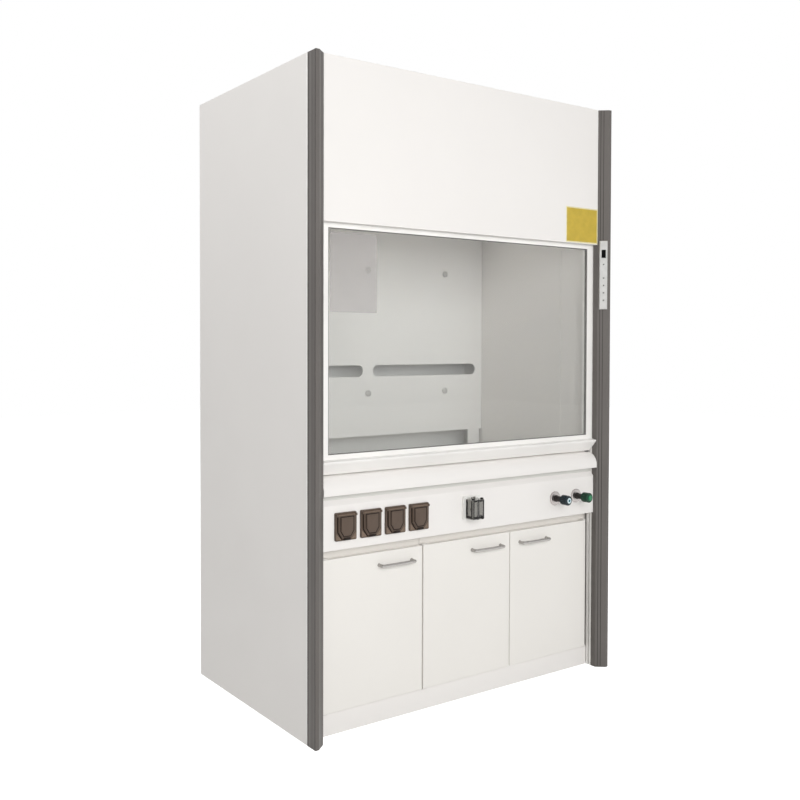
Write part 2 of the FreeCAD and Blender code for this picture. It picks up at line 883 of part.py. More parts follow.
def handle(index):
    """Bow handle: a round bar with mitred elbows on two small feet."""
    left, right, side = door_span(index)
    half = handle_centres / 2
    reach_to_edge = handle_free_edge + handle_bar_radius + half
    xc = right - reach_to_edge if side < 0 else left + reach_to_edge
    y0 = door_y
    y1 = door_y - handle_reach + handle_bar_radius
    bend = handle_bend

    def at(x, y):
        return V(x, y, handle_z)

    xl, xr = xc - half, xc + half
    path = Part.makePolygon([
        at(xl, y0), at(xl, y1 + bend), at(xl + bend, y1), at(xr - bend, y1), at(xr, y1 + bend), at(xr, y0),
    ])
    ring = Part.Wire([Part.makeCircle(handle_bar_radius, at(xl, y0), V(0, 1, 0))])
    bar = path.makePipeShell([ring], True, False, 1)
    feet = [
        cylinder((x, y0, handle_z), (0, -1, 0), handle_foot_radius, handle_foot_thickness) for x in (xl, xr)
    ]
    return join([bar] + feet)


def sash_bottom_rail():
    """Hollow rail with a lifting lip that leans out over the sill."""
    y0, y1 = sash_y, sash_back_y
    tip_y = y0 - lip_reach
    outline = [
        (y0, glass_bottom),
        (y0, lip_top),
        (tip_y + lip_edge_setback, lip_top - lip_fall),
        (tip_y, lip_top - lip_edge_drop),
        (tip_y + lip_under_setback, lip_top - lip_under_drop),
        (y0 + rail_foot_setback, sash_bottom),
        (y1, sash_bottom),
        (y1, glass_bottom),
    ]
    x1 = sash_half_width
    rail = profile_along_x(outline, -x1, x1)
    w = rail_wall
    hollow = box(-x1, x1, y0 + rail_foot_setback, y1 - w, sash_bottom + w, lip_top)
    groove = box(
        -glass_half_width - glass_embed, glass_half_width + glass_embed,
        glass_y, glass_y + glass_thickness, glass_bottom - glass_embed, glass_bottom,
    )
    return rail.cut(hollow).cut(groove)


def sash_stile(side):
    """One hollow upright of the sash frame, grooved for the glass and closed at the top for the cable."""
    x0, x1 = glass_half_width, sash_half_width
    w = rail_wall
    bar = box(x0, x1, sash_y, sash_back_y, glass_bottom, sash_top)
    groove_x, glass_end = x0 + glass_embed, glass_top + glass_embed
    groove = box(x0, groove_x, glass_y, glass_y + glass_thickness, glass_bottom, glass_end)
    hollow = box(groove_x + w, x1 - w, sash_y + w, sash_back_y - w, glass_bottom, sash_top - w)
    bar = bar.cut(groove).cut(hollow)
    return bar if side > 0 else mirrored(bar)


def sash_top_rail():
    """Top of the sash frame, between the stiles."""
    x1 = glass_half_width
    bar = box(-x1, x1, sash_y, sash_back_y, glass_top, sash_top)
    groove = box(-x1, x1, glass_y, glass_y + glass_thickness, glass_top, glass_top + glass_embed)
    return bar.cut(groove)


def sash_glass():
    """Pane held in the frame's grooves."""
    x1 = glass_half_width + glass_embed
    z0, z1 = glass_bottom - glass_embed, glass_top + glass_embed
    return box(-x1, x1, glass_y, glass_y + glass_thickness, z0, z1)


def sash_shoes():
    """Four blocks on the stiles' edges that run in the tracks' slots."""
    slot_y = column_back_y + track_slot_setback
    y0, y1 = slot_y + shoe_clearance, slot_y + track_slot_width - shoe_clearance
    x0, x1 = sash_half_width, column_inner_x + track_slot_depth - shoe_clearance
    rows = (glass_bottom + shoe_inset, sash_top - shoe_inset - shoe_height)
    shoes = []
    for z in rows:
        shoe = box(x0, x1, y0, y1, z, z + shoe_height)
        shoes += [shoe, mirrored(shoe)]
    return Part.Compound(shoes)


def counterweight():
    """Right iron bar hanging in the track's channel."""
    y0 = column_back_y + casing_sheet + weight_gap
    x0, x1 = weight_in_x, weight_in_x + weight_width
    bar = box(x0, x1, y0, y0 + weight_depth, weight_top - weight_height, weight_top)
    ends = [e for e in bar.Edges if e.BoundBox.ZLength < 0.01]
    return bar.makeChamfer(weight_gap, ends)


def pulley():
    """Right grooved wheel that carries the sash cable."""
    half = pulley_width / 2
    rim = cable_wrap_radius + pulley_flange
    root = cable_wrap_radius - cable_radius - axle_clearance
    y = cable_y
    edges_points = [
        (pulley_axle_radius + axle_clearance, -half),
        (rim, -half),
        (root, -cable_radius),
        (root, cable_radius),
        (rim, half),
        (pulley_axle_radius + axle_clearance, half),
    ]
    section = polygon_face([(pulley_x + r, y + d, pulley_axle_z) for r, d in edges_points])
    return section.revolve(V(pulley_x, y, pulley_axle_z), V(0, 1, 0), 360)


def pulley_bracket():
    """Right hanger under the roof: a top plate, two cheeks and the fixed axle."""
    z1 = body_height - casing_sheet
    y0 = cable_y - pulley_width / 2 - bracket_gap
    y1 = cable_y + pulley_width / 2 + bracket_gap
    w = bracket_half_width
    low = pulley_axle_z - w
    x0, x1 = pulley_x - w, pulley_x + w
    plate = box(x0, x1, y0 - bracket_plate, y1 + bracket_plate, z1 - bracket_plate, z1)
    cheeks = [
        box(x0, x1, y0 - bracket_plate, y0, low, z1 - bracket_plate),
        box(x0, x1, y1, y1 + bracket_plate, low, z1 - bracket_plate),
    ]
    axle = cylinder((pulley_x, y0, pulley_axle_z), (0, 1, 0), pulley_axle_radius, y1 - y0)
    return join([plate] + cheeks + [axle])


def sash_cable():
    """Right cable: up from the sash, over the pulley and down to the counterweight."""
    y = cable_y
    r = cable_wrap_radius

    def at(x, z):
        return V(x, y, z)

    path = Part.Wire([
        Part.LineSegment(at(cable_in_x, sash_top), at(cable_in_x, pulley_axle_z)).toShape(),
        Part.Arc(
            at(cable_in_x, pulley_axle_z), at(pulley_x, pulley_axle_z + r), at(cable_out_x, pulley_axle_z)
        ).toShape(),
        Part.LineSegment(at(cable_out_x, pulley_axle_z), at(cable_out_x, weight_top)).toShape(),
    ])
    strands = []
    for i in range(cable_strands + 1):
        turn = 2 * math.pi * (i + 0.5) / cable_strands
        strands.append(at(cable_in_x, sash_top) + V(math.cos(turn), math.sin(turn), 0) * cable_radius)
    return path.makePipeShell([Part.makePolygon(strands)], True, False)


def socket_x(index):
    """Centre of one of the four sockets."""
    return -fascia_half_width + socket_side_margin + index * socket_pitch


def socket_face_y():
    """Front of a socket base."""
    return fascia_y - socket_depth


def socket_pivot():
    """Depth and height of a lid's hinge pins."""
    pin_y = socket_face_y() - lid_gap - socket_lid_thickness / 2
    return pin_y, socket_z + socket_lid_height / 2 - socket_pin_drop


def cut_pin_holes(base, x, z, face_y, places):
    """Three slots for a plug's pins, each given by its centre and foot."""
    half = socket_pin_hole_width / 2
    for dx, dz in places:
        low_z = z + dz
        high_z = low_z + socket_pin_hole_height
        hole = box(x + dx - half, x + dx + half, face_y, face_y + socket_pin_hole_depth, low_z, high_z)
        base = base.cut(hole)
    return base


def socket_base(index):
    """Moulded frame on the fascia, a back box through it, and two ears with pin holes at the top."""
    x = socket_x(index)
    y0 = socket_face_y()
    half_w, half_h = socket_width / 2, socket_height / 2
    frame = box(x - half_w, x + half_w, y0, fascia_y, socket_z - half_h, socket_z + half_h)
    frame = frame.makeChamfer(socket_corner, [e for e in frame.Edges if e.BoundBox.YLength > 1])
    half = socket_box / 2
    back = box(x - half, x + half, fascia_y, fascia_y + socket_box_depth, socket_z - half, socket_z + half)
    pin_y, pin_z = socket_pivot()
    bore_radius = socket_pin_radius + socket_pin_clearance
    ear_half = socket_ear_height / 2
    ears = []
    for side in (-1, 1):
        inner = x + side * (socket_lid_width / 2 + lid_gap)
        outer = inner + side * socket_ear
        low_x, high_x = min(inner, outer), max(inner, outer)
        ear = box(low_x, high_x, pin_y - ear_half, y0, pin_z - ear_half, pin_z + ear_half)
        hole = cylinder((inner, pin_y, pin_z), (side, 0, 0), bore_radius, socket_pin_reach + lid_gap)
        ears.append(ear.cut(hole))
    face_z = socket_z - socket_face_drop
    face = cylinder((x, y0, face_z), (0, 1, 0), socket_face_radius, socket_face_depth)
    base = join([frame, back] + ears).cut(face)
    return cut_pin_holes(base, x, socket_z, y0 + socket_face_depth, socket_pin_holes)


def shield_plate(x, y0, y1, z0, z1, inset):
    """Plate with straight sides and cut lower corners, drawn in from a lid's outline."""
    side, foot = socket_lid_width / 2, socket_lid_foot_width / 2
    taper_run = side - foot
    slant = math.hypot(taper_run, socket_lid_taper)
    z_cut = z0 + socket_lid_taper + inset * (slant - socket_lid_taper) / taper_run
    foot -= inset * (slant - taper_run) / socket_lid_taper
    side -= inset
    outline = [
        (-side, z1 - inset), (side, z1 - inset), (side, z_cut),
        (foot, z0 + inset), (-foot, z0 + inset), (-side, z_cut),
    ]
    return polygon_face([(x + dx, y0, z) for dx, z in outline]).extrude(V(0, y1 - y0, 0))


def socket_lid(index):
    """Shield-shaped flip lid with hinge pins, two raised steps along its outline and a latch tab."""
    x = socket_x(index)
    y1 = socket_face_y() - lid_gap
    y0 = y1 - socket_lid_thickness
    pin_y, pin_z = socket_pivot()
    z1 = pin_z + socket_lid_thickness / 2
    z0 = z1 - socket_lid_height
    plate = shield_plate(x, y0, y1, z0, z1, 0)
    plate = plate.makeChamfer(socket_lid_thickness / 3, [
        e for e in plate.Edges if e.BoundBox.XLength > 1 and e.BoundBox.ZMin > z1 - 0.1
    ])
    pieces = [plate]
    y_step = y0
    for inset, rise in socket_lid_steps:
        pieces.append(shield_plate(x, y_step - rise, y_step, z0, z1, inset))
        y_step -= rise
    half_tab = socket_tab_width / 2
    y_tab = y0 - socket_tab_proud
    pieces.append(box(x - half_tab, x + half_tab, y_tab, y1, z0 - socket_tab_drop, z0 + socket_tab_lap))
    pin_reach = socket_lid_width / 2 + lid_gap + socket_pin_reach
    pieces.append(cylinder((x - pin_reach, pin_y, pin_z), (1, 0, 0), socket_pin_radius, 2 * pin_reach))
    return join(pieces)


def switch_pivot():
    """Depth and height of the smoked cover's hinge."""
    pin_y = fascia_y - switch_depth - switch_pin_setback
    return pin_y, switch_cover_z + switch_cover_height / 2 + switch_ear_radius + lid_gap


def switch_base():
    """White plate with a raised socket face, round hinge ears at the top and a box behind."""
    y0 = fascia_y - switch_depth
    half = switch_plate / 2
    plate = box(switch_x - half, switch_x + half, y0, fascia_y, switch_z - half, switch_z + half)
    plate = plate.makeChamfer(socket_corner, [e for e in plate.Edges if e.BoundBox.YLength > 1])
    b = socket_box / 2
    back_y = fascia_y + socket_box_depth
    back = box(switch_x - b, switch_x + b, fascia_y, back_y, switch_z - b, switch_z + b)
    h = switch_insert / 2
    face_y = y0 - switch_insert_proud
    insert = box(switch_x - h, switch_x + h, face_y, y0, switch_z - h, switch_z + h)
    pin_y, pin_z = switch_pivot()
    ears = []
    for side in (-1, 1):
        x0 = switch_x + side * switch_ear_x - switch_ear_width / 2
        ears.append(cylinder((x0, pin_y, pin_z), (1, 0, 0), switch_ear_radius, switch_ear_width))
        z0, z1 = pin_z - switch_ear_radius, pin_z + switch_ear_radius
        ears.append(box(x0, x0 + switch_ear_width, pin_y, y0, z0, z1))
    whole = join([plate, back, insert] + ears)
    reach = switch_ear_x + switch_ear_width
    bore_radius = switch_pin_radius + socket_pin_clearance
    whole = whole.cut(cylinder((switch_x - reach, pin_y, pin_z), (1, 0, 0), bore_radius, 2 * reach))
    return cut_pin_holes(whole, switch_x, switch_z, face_y, switch_pin_holes)


def switch_cover():
    """Smoked box lid, open at the back, with two hinge lugs on a bar and a latch tab."""
    w = switch_cover_wall
    y1 = fascia_y - switch_depth - lid_gap
    y0 = y1 - switch_cover_depth
    half_w = switch_cover_width / 2
    z0 = switch_cover_z - switch_cover_height / 2
    z1 = z0 + switch_cover_height
    outside = box(switch_x - half_w, switch_x + half_w, y0, y1, z0, z1)
    front = [e for e in outside.Edges if e.BoundBox.YMax < y0 + 0.1]
    low_sides = [e for e in outside.Edges if e.BoundBox.YLength > 1 and e.BoundBox.ZMin < z0 + 0.1]
    outside = outside.makeChamfer(switch_cover_chamfer, front + low_sides)
    inside = box(switch_x - half_w + w, switch_x + half_w - w, y0 + w, y1, z0 + w, z1 - w)
    pin_y, pin_z = switch_pivot()
    half_lug = switch_lug_width / 2
    lugs = []
    for side in (-1, 1):
        x = switch_x + side * switch_lug_x
        r = switch_ear_radius
        lugs.append(box(x - half_lug, x + half_lug, pin_y - r, pin_y + r, z1 - w, pin_z))
        lugs.append(cylinder((x - half_lug, pin_y, pin_z), (1, 0, 0), r, switch_lug_width))
    reach = switch_ear_x + switch_ear_width / 2
    bar = cylinder((switch_x - reach, pin_y, pin_z), (1, 0, 0), switch_pin_radius, 2 * reach)
    half_tab = switch_tab_width / 2
    tab = box(switch_x - half_tab, switch_x + half_tab, y1 - switch_tab_depth, y1, z0 - switch_tab_drop, z0)
    return join([outside.cut(inside), bar, tab] + lugs)


def valve_body(x):
    """Flange on the fascia, stem and spindle in front, body with an inlet and an outlet behind."""
    y_face = fascia_y - valve_flange_depth
    flange = cylinder((x, fascia_y, valve_z), (0, -1, 0), valve_flange_radius, valve_flange_depth)
    flange = flange.makeChamfer(valve_flange_chamfer, front_rim(flange))
    knob_back = nose_y - knob_reach + valve_knob_length
    stem_length = y_face - knob_back - pivot_gap
    stem = cylinder((x, y_face, valve_z), (0, -1, 0), valve_stem_radius, stem_length)
    spindle_length = stem_length + valve_knob_bore_depth
    spindle = cylinder((x, y_face, valve_z), (0, -1, 0), valve_spindle_radius, spindle_length)
    body = cylinder((x, fascia_y, valve_z), (0, 1, 0), valve_body_radius, valve_body_depth)
    port_y = fascia_y + valve_body_depth - valve_port_inset
    foot_z = valve_z - valve_port_length / 2
    ports = cylinder((x, port_y, foot_z), (0, 0, 1), valve_port_radius, valve_port_length)
    return join([flange, stem, spindle, body, ports])


def valve_knob(x):
    """Fluted knob with a blind bore for the spindle and a raised disc on its face."""
    y0 = nose_y - knob_reach
    y_face = y0 + valve_knob_disc
    y_back = y0 + valve_knob_length
    r = valve_knob_radius
    barrel = cylinder((x, y_face, valve_z), (0, 1, 0), r, y_back - y_face)
    barrel = barrel.makeChamfer(valve_knob_chamfer, front_rim(barrel))
    knob = join([barrel, cylinder((x, y0, valve_z), (0, 1, 0), valve_knob_disc_radius, valve_knob_disc)])
    half = valve_knob_flute_width / 2
    groove = polygon_face([
        (x + r - valve_knob_flute_depth, y_face, valve_z), (x + r + half, y_face, valve_z - half),
        (x + r + half, y_face, valve_z + half),
    ]).extrude(V(0, y_back - valve_knob_collar - y_face, 0))
    for i in range(valve_knob_flutes):
        flute = groove.copy()
        flute.rotate(V(x, y_face, valve_z), V(0, 1, 0), 360.0 * i / valve_knob_flutes)
        knob = knob.cut(flute)
    bore_radius = valve_spindle_radius + axle_clearance
    return knob.cut(cylinder((x, y_back, valve_z), (0, -1, 0), bore_radius, valve_knob_bore_depth))


def on_column(shape):
    """Turns a piece built against the plane y = 0, facing -Y, onto the right column's slanted face."""
    run = column_width - nose_flat - nose_corner
    angle = math.degrees(math.atan2(-front_panel_setback, run))
    x = column_inner_x + run / 2
    y = nose_y + front_panel_setback / 2
    placed = shape.copy()
    placed.rotate(V(0, 0, 0), V(0, 0, 1), angle)
    placed.translate(V(x, y, 0))
    return placed


def controller_case():
    """Slim case on the slanted face, with round wells for the buttons and a display recess."""
    half = controller_width / 2
    z0, z1 = controller_bottom, controller_bottom + controller_height
    case = box(-half, half, -controller_thickness, 0, z0, z1)
    front = -controller_thickness
    case = case.makeChamfer(controller_chamfer, [e for e in case.Edges if e.BoundBox.YMax < front + 0.1])
    for z in button_heights:
        case = case.cut(cylinder((0, front, z), (0, 1, 0), button_radius + button_clearance, button_well))
    half_d = display_width / 2
    z1 = display_bottom + display_height
    return on_column(case.cut(box(-half_d, half_d, front, front + display_recess, display_bottom, z1)))


def controller_button(z):
    """One round push button in its well."""
    front = -controller_thickness - button_proud
    cap = cylinder((0, front, z), (0, 1, 0), button_radius, button_length)
    return on_column(cap.makeChamfer(button_proud / 2, front_rim(cap)))


def build():
    """Makes every sub-part and writes it."""
    os.makedirs("parts", exist_ok=True)
    pieces = {
        "right_side_panel": side_panel(),
        "left_side_panel": mirrored(side_panel()),
        "back_panel": back_panel(),
        "top_panel": top_panel(),
        "right_column": corner_column(),
        "left_column": mirrored(corner_column()),
        "sash_tracks": Part.Compound([sash_track(), mirrored(sash_track())]),
        "front_panel": front_panel(),
        "side_liners": Part.Compound([side_liner(), mirrored(side_liner())]),
        "back_liner": back_liner(),
        "front_liner": front_liner(),
        "ceiling_liner": ceiling_liner(),
        "baffle": baffle(),
        "baffle_posts": baffle_posts(),
        "baffle_cap_nuts": baffle_cap_nuts(),
        "duct_collar": duct_collar(),
        "lamp_housing": lamp_housing(),
        "lamp_glass": lamp_glass(),
        "lamp_strip": lamp_strip(),
        "worktop": worktop(),
        "airfoil": airfoil(),
        "airfoil_brackets": airfoil_brackets(),
        "service_fascia": service_fascia(),
        "left_cabinet": cabinet(-cabinet_half_width, cabinet_split_x - cabinet_split_gap / 2),
        "right_cabinet": cabinet(cabinet_split_x + cabinet_split_gap / 2, cabinet_half_width),
        "plinth": plinth(),
        "door_pivots": door_pivots(),
        "sash_bottom_rail": sash_bottom_rail(),
        "sash_stiles": Part.Compound([sash_stile(1), sash_stile(-1)]),
        "sash_top_rail": sash_top_rail(),
        "sash_glass": sash_glass(),
        "sash_shoes": sash_shoes(),
        "right_counterweight": counterweight(),
        "left_counterweight": mirrored(counterweight()),
        "right_pulley": pulley(),
        "left_pulley": mirrored(pulley()),
        "pulley_brackets": Part.Compound([pulley_bracket(), mirrored(pulley_bracket())]),
        "sash_cables": Part.Compound([sash_cable(), mirrored(sash_cable())]),
        "socket_bases": Part.Compound([socket_base(i) for i in range(socket_count)]),
        "switch_base": switch_base(),
        "switch_cover": switch_cover(),
        "valve_bodies": Part.Compound([valve_body(x) for x in valve_x]),
        "left_valve_knob": valve_knob(valve_x[0]),
        "right_valve_knob": valve_knob(valve_x[1]),
        "controller_case": controller_case(),
    }
    for index, side in enumerate(("left", "middle", "right")):
        pieces[side + "_door"] = door(index)
        pieces[side + "_handle"] = handle(index)
    for index in range(socket_count):
        pieces["socket_lid_%d" % (index + 1)] = socket_lid(index)
    for index, z in enumerate(button_heights):
        pieces["controller_button_%d" % (index + 1)] = controller_button(z)
    for node, shape in pieces.items():
        save(node, shape)


build()
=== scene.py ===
import json
import math

import bmesh
import bpy
from mathutils import Matrix, Vector


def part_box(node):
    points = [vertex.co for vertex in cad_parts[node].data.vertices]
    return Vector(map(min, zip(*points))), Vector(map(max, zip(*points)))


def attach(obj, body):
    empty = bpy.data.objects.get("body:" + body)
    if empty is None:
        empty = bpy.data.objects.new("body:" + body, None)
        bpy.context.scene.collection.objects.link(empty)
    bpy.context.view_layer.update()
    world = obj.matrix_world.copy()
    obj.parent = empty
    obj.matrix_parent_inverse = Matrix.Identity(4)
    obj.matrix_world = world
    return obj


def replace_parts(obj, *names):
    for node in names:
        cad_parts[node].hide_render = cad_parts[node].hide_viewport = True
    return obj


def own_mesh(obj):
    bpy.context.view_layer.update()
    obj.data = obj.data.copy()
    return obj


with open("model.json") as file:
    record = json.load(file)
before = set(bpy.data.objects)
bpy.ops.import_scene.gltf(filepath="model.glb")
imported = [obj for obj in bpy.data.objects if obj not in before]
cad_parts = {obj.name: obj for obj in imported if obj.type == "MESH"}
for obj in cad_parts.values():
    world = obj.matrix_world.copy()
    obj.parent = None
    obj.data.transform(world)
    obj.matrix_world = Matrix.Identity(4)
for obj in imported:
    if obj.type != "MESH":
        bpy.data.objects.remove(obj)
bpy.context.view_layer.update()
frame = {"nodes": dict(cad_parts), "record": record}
nodes = frame["nodes"]
SLOT_OF = {row["node"]: row["material_slot"] for row in frame["record"]["subparts"]}
MM = 0.001
UP = Vector((0, 0, 1))
FRONT = Vector((0, -1, 0))
REAR = Vector((0, 1, 0))
WHITE = (1, 1, 1, 1)


# Materials: small helpers

def srgb(red, green, blue):
    """A colour given as 0 to 255 in sRGB, as the shader wants it."""
    def linear(value):
        value /= 255
        return value / 12.92 if value <= 0.04045 else ((value + 0.055) / 1.055) ** 2.4
    return (linear(red), linear(green), linear(blue), 1.0)


def shade(colour, factor):
    """The same colour, lighter or darker."""
    return tuple(min(1.0, channel * factor) for channel in colour[:3]) + (1.0,)


def new_material(name):
    """An empty node material."""
    material = bpy.data.materials.new(name)
    material.use_nodes = True
    material.node_tree.nodes.clear()
    return material


def add(holder, kind, inputs=None, **settings):
    """Adds a shader node to a material or world, with values or links for its inputs."""
    node = holder.node_tree.nodes.new("ShaderNode" + kind)
    for key, value in settings.items():
        setattr(node, key, value)
    for key, value in (inputs or {}).items():
        if isinstance(value, bpy.types.NodeSocket):
            holder.node_tree.links.new(value, node.inputs[key])
        else:
            node.inputs[key].default_value = value
    return node


def noise(material, scale, detail=2.0, stretch=(1, 1, 1)):
    """Noise in the object's own space, scale in waves per metre."""
    place = add(material, "TexCoord").outputs["Object"]
    mapped = add(material, "Mapping", {"Vector": place, "Scale": stretch}).outputs[0]
    return add(material, "TexNoise", {"Vector": mapped, "Scale": scale, "Detail": detail}).outputs["Fac"]


def spread(material, value, low, high, start=0.3, end=0.7):
    """Maps noise onto a range."""
    sent = {"Value": value, "From Min": start, "From Max": end, "To Min": low, "To Max": high}
    return add(material, "MapRange", sent).outputs[0]


def mix_colours(material, factor, first, second):
    """Goes from one colour to another."""
    return add(material, "Mix", {0: factor, 6: first, 7: second}, data_type="RGBA").outputs[2]


def bumped(material, height, strength, distance, edge):
    """A bump over edges that are softened to a small radius."""
    soft = add(material, "Bevel", {"Radius": edge}, samples=4).outputs[0]
    sent = {"Height": height, "Strength": strength, "Distance": distance, "Normal": soft}
    return add(material, "Bump", sent).outputs[0]


def close(material, surface):
    """Sends the shader to the output."""
    add(material, "OutputMaterial", {"Surface": surface})
    return material


def powder_coat(name, colour, roughness=0.42, edge=1.2 * MM):
    """Baked powder coat: a fine orange peel, with slight clouds in tone and gloss."""
    m = new_material(name)
    tone = spread(m, noise(m, 1.7, 3), 0.0, 1.0)
    base = mix_colours(m, tone, shade(colour, 0.975), colour)
    rough = spread(m, noise(m, 5.0, 3), roughness - 0.05, roughness + 0.05)
    normal = bumped(m, noise(m, 420, 2), 0.06, 0.0004, edge)
    shader = add(m, "BsdfPrincipled", {"Base Color": base, "Roughness": rough, "Normal": normal})
    return close(m, shader.outputs[0])


def board(name, colour, roughness=0.5, edge=0.8 * MM, sway=0.06):
    """Compact laminate: faint mottle and a fine matt texture."""
    m = new_material(name)
    mottle = spread(m, noise(m, 60, 4), 0.0, 1.0)
    cloud = spread(m, noise(m, 2.3, 2), 0.0, 1.0)
    base = mix_colours(m, mottle, shade(colour, 0.988), colour)
    base = mix_colours(m, cloud, base, shade(colour, 1.01))
    rough = spread(m, noise(m, 9.0, 2), roughness - sway, roughness + sway)
    normal = bumped(m, noise(m, 900, 2), 0.015, 0.0003, edge)
    shader = add(m, "BsdfPrincipled", {"Base Color": base, "Roughness": rough, "Normal": normal})
    return close(m, shader.outputs[0])


def extrusion(name, colour, roughness=0.4, gloss=0.5, edge=0.8 * MM):
    """Coated or anodised extrusion: fine die lines that run up the profile."""
    m = new_material(name)
    lines = noise(m, 330, 2, (1, 1, 0.01))
    cloud = spread(m, noise(m, 3.0, 2), 0.0, 1.0)
    base = mix_colours(m, cloud, shade(colour, 0.95), shade(colour, 1.04))
    rough = spread(m, lines, roughness - 0.05, roughness + 0.07)
    normal = bumped(m, lines, 0.07, 0.0003, edge)
    sent = {"Base Color": base, "Roughness": rough, "Specular IOR Level": gloss, "Normal": normal}
    shader = add(m, "BsdfPrincipled", sent)
    return close(m, shader.outputs[0])


def brushed(name, colour, roughness, stretch, edge=0.4 * MM):
    """Brushed bare metal, with grain along one axis."""
    m = new_material(name)
    grain = noise(m, 900, 3, stretch)
    base = mix_colours(m, spread(m, grain, 0.0, 1.0), shade(colour, 0.86), colour)
    rough = spread(m, grain, roughness - 0.07, roughness + 0.09)
    normal = bumped(m, grain, 0.08, 0.0002, edge)
    sent = {"Base Color": base, "Roughness": rough, "Metallic": 1.0, "Normal": normal}
    shader = add(m, "BsdfPrincipled", sent)
    return close(m, shader.outputs[0])


def moulded(name, colour, roughness=0.35, texture=0.08, edge=0.4 * MM, gloss=0.5):
    """Moulded plastic or rubber: a fine spark-eroded texture."""
    m = new_material(name)
    tone = spread(m, noise(m, 35, 3), 0.0, 1.0)
    base = mix_colours(m, tone, shade(colour, 0.92), shade(colour, 1.05))
    rough = spread(m, noise(m, 120, 2), roughness - 0.05, roughness + 0.06)
    normal = bumped(m, noise(m, 1900, 2), texture, 0.0002, edge)
    sent = {"Base Color": base, "Roughness": rough, "Specular IOR Level": gloss, "Normal": normal}
    shader = add(m, "BsdfPrincipled", sent)
    return close(m, shader.outputs[0])


def cast_iron(name, colour):
    """Rough cast bar."""
    m = new_material(name)
    pits = noise(m, 160, 5)
    base = mix_colours(m, spread(m, pits, 0.0, 1.0), shade(colour, 0.7), shade(colour, 1.2))
    normal = bumped(m, pits, 0.35, 0.0006, 1.0 * MM)
    sent = {"Base Color": base, "Roughness": 0.7, "Metallic": 0.6, "Normal": normal}
    shader = add(m, "BsdfPrincipled", sent)
    return close(m, shader.outputs[0])


def clear(name, tint, body, cover, roughness=0.03):
    """Clear or smoked sheet: tinted light passes, a share of body colour stays, and gloss by Fresnel."""
    m = new_material(name)
    wipe = spread(m, noise(m, 4.0, 3), roughness, roughness + 0.03)
    through = add(m, "BsdfTransparent", {"Color": tint})
    solid = add(m, "BsdfPrincipled", {"Base Color": body, "Roughness": wipe, "Specular IOR Level": 0.5})
    shine = add(m, "BsdfPrincipled", {"Base Color": WHITE, "Metallic": 1.0, "Roughness": wipe})
    fresnel = add(m, "Fresnel", {"IOR": 1.5}).outputs[0]
    outside = add(m, "Math", {0: 1.0, 1: add(m, "NewGeometry").outputs["Backfacing"]}, operation="SUBTRACT")
    gloss = add(m, "Math", {0: fresnel, 1: outside.outputs[0]}, operation="MULTIPLY")
    first = add(m, "MixShader", {0: cover, 1: through.outputs[0], 2: solid.outputs[0]})
    second = add(m, "MixShader", {0: gloss.outputs[0], 1: first.outputs[0], 2: shine.outputs[0]})
    return close(m, second.outputs[0])


def glowing(name, colour, strength):
    """A lit or frosted lamp surface."""
    m = new_material(name)
    tone = mix_colours(m, spread(m, noise(m, 20, 2), 0.0, 1.0), shade(colour, 0.97), colour)
    sent = {"Base Color": tone, "Roughness": 0.5, "Emission Color": colour, "Emission Strength": strength}
    shader = add(m, "BsdfPrincipled", sent)
    return close(m, shader.outputs[0])


FINISH = {
    "casing_white": powder_coat("casing_white", srgb(240, 237, 234), 0.5),
    "door_white": powder_coat("door_white", srgb(238, 235, 230), 0.4),
    "column_grey": extrusion("column_grey", srgb(104, 100, 97), 0.45, 0.25),
    "sash_white": extrusion("sash_white", srgb(243, 241, 238), 0.36),
    "liner_board": board("liner_board", srgb(231, 228, 225)),
    "worktop_pale": board("worktop_pale", srgb(216, 215, 210), 0.36, sway=0.01),
    "pane": clear("pane", (0.906, 0.913, 0.91, 1), srgb(224, 222, 219), 0.03),
    "socket_brown": moulded("socket_brown", srgb(86, 71, 60), 0.36, gloss=0.35),
    "switch_white": moulded("switch_white", srgb(236, 235, 231), 0.3),
    "cover_smoke": clear("cover_smoke", (0.84, 0.835, 0.82, 1), srgb(88, 86, 82), 0.16, 0.06),
    "knob_teal": moulded("knob_teal", srgb(12, 32, 39), 0.36, gloss=0.35),
    "knob_green": moulded("knob_green", srgb(8, 58, 39), 0.36, gloss=0.35),
    "bright_metal": brushed("bright_metal", srgb(190, 184, 182), 0.34, (1, 1, 1)),
    "satin_steel": brushed("satin_steel", srgb(176, 173, 170), 0.26, (0.02, 1, 1)),
    "controller_pale": moulded("controller_pale", srgb(206, 205, 203), 0.4),
    "button_pale": moulded("button_pale", srgb(190, 189, 187), 0.45),
    # Painted shade: the caps' white is greyed to stand for the shade round the nuts.
    "cap_white": moulded("cap_white", srgb(200, 198, 195), 0.25),
    "slider_black": moulded("slider_black", srgb(28, 28, 29), 0.5),
    "weight_iron": cast_iron("weight_iron", srgb(96, 96, 98)),
    "lamp_white": glowing("lamp_white", srgb(248, 244, 240), 26.0),
}
PLATE_YELLOW = moulded("plate_yellow", srgb(198, 172, 70), 0.5, 0.03, gloss=0.3)
PLATE_EDGE = moulded("plate_edge", srgb(232, 224, 178), 0.4, 0.03)
FILM = clear("film", (0.86, 0.855, 0.855, 1), srgb(206, 201, 200), 0.3, 0.2)
GASKET = moulded("gasket", srgb(118, 116, 113), 0.6, 0.1)
# Dark finish for the sash pads, and painted shade at the switch's pin openings.
BLACK_RUBBER_AND_HOLE_SHADE = moulded("black_rubber_and_hole_shade", srgb(30, 30, 31), 0.6, 0.15)
DISPLAY = moulded("display", srgb(8, 8, 9), 0.3, 0.0, gloss=0.06)
INK = moulded("ink", srgb(44, 44, 47), 0.5, 0.0, gloss=0.2)
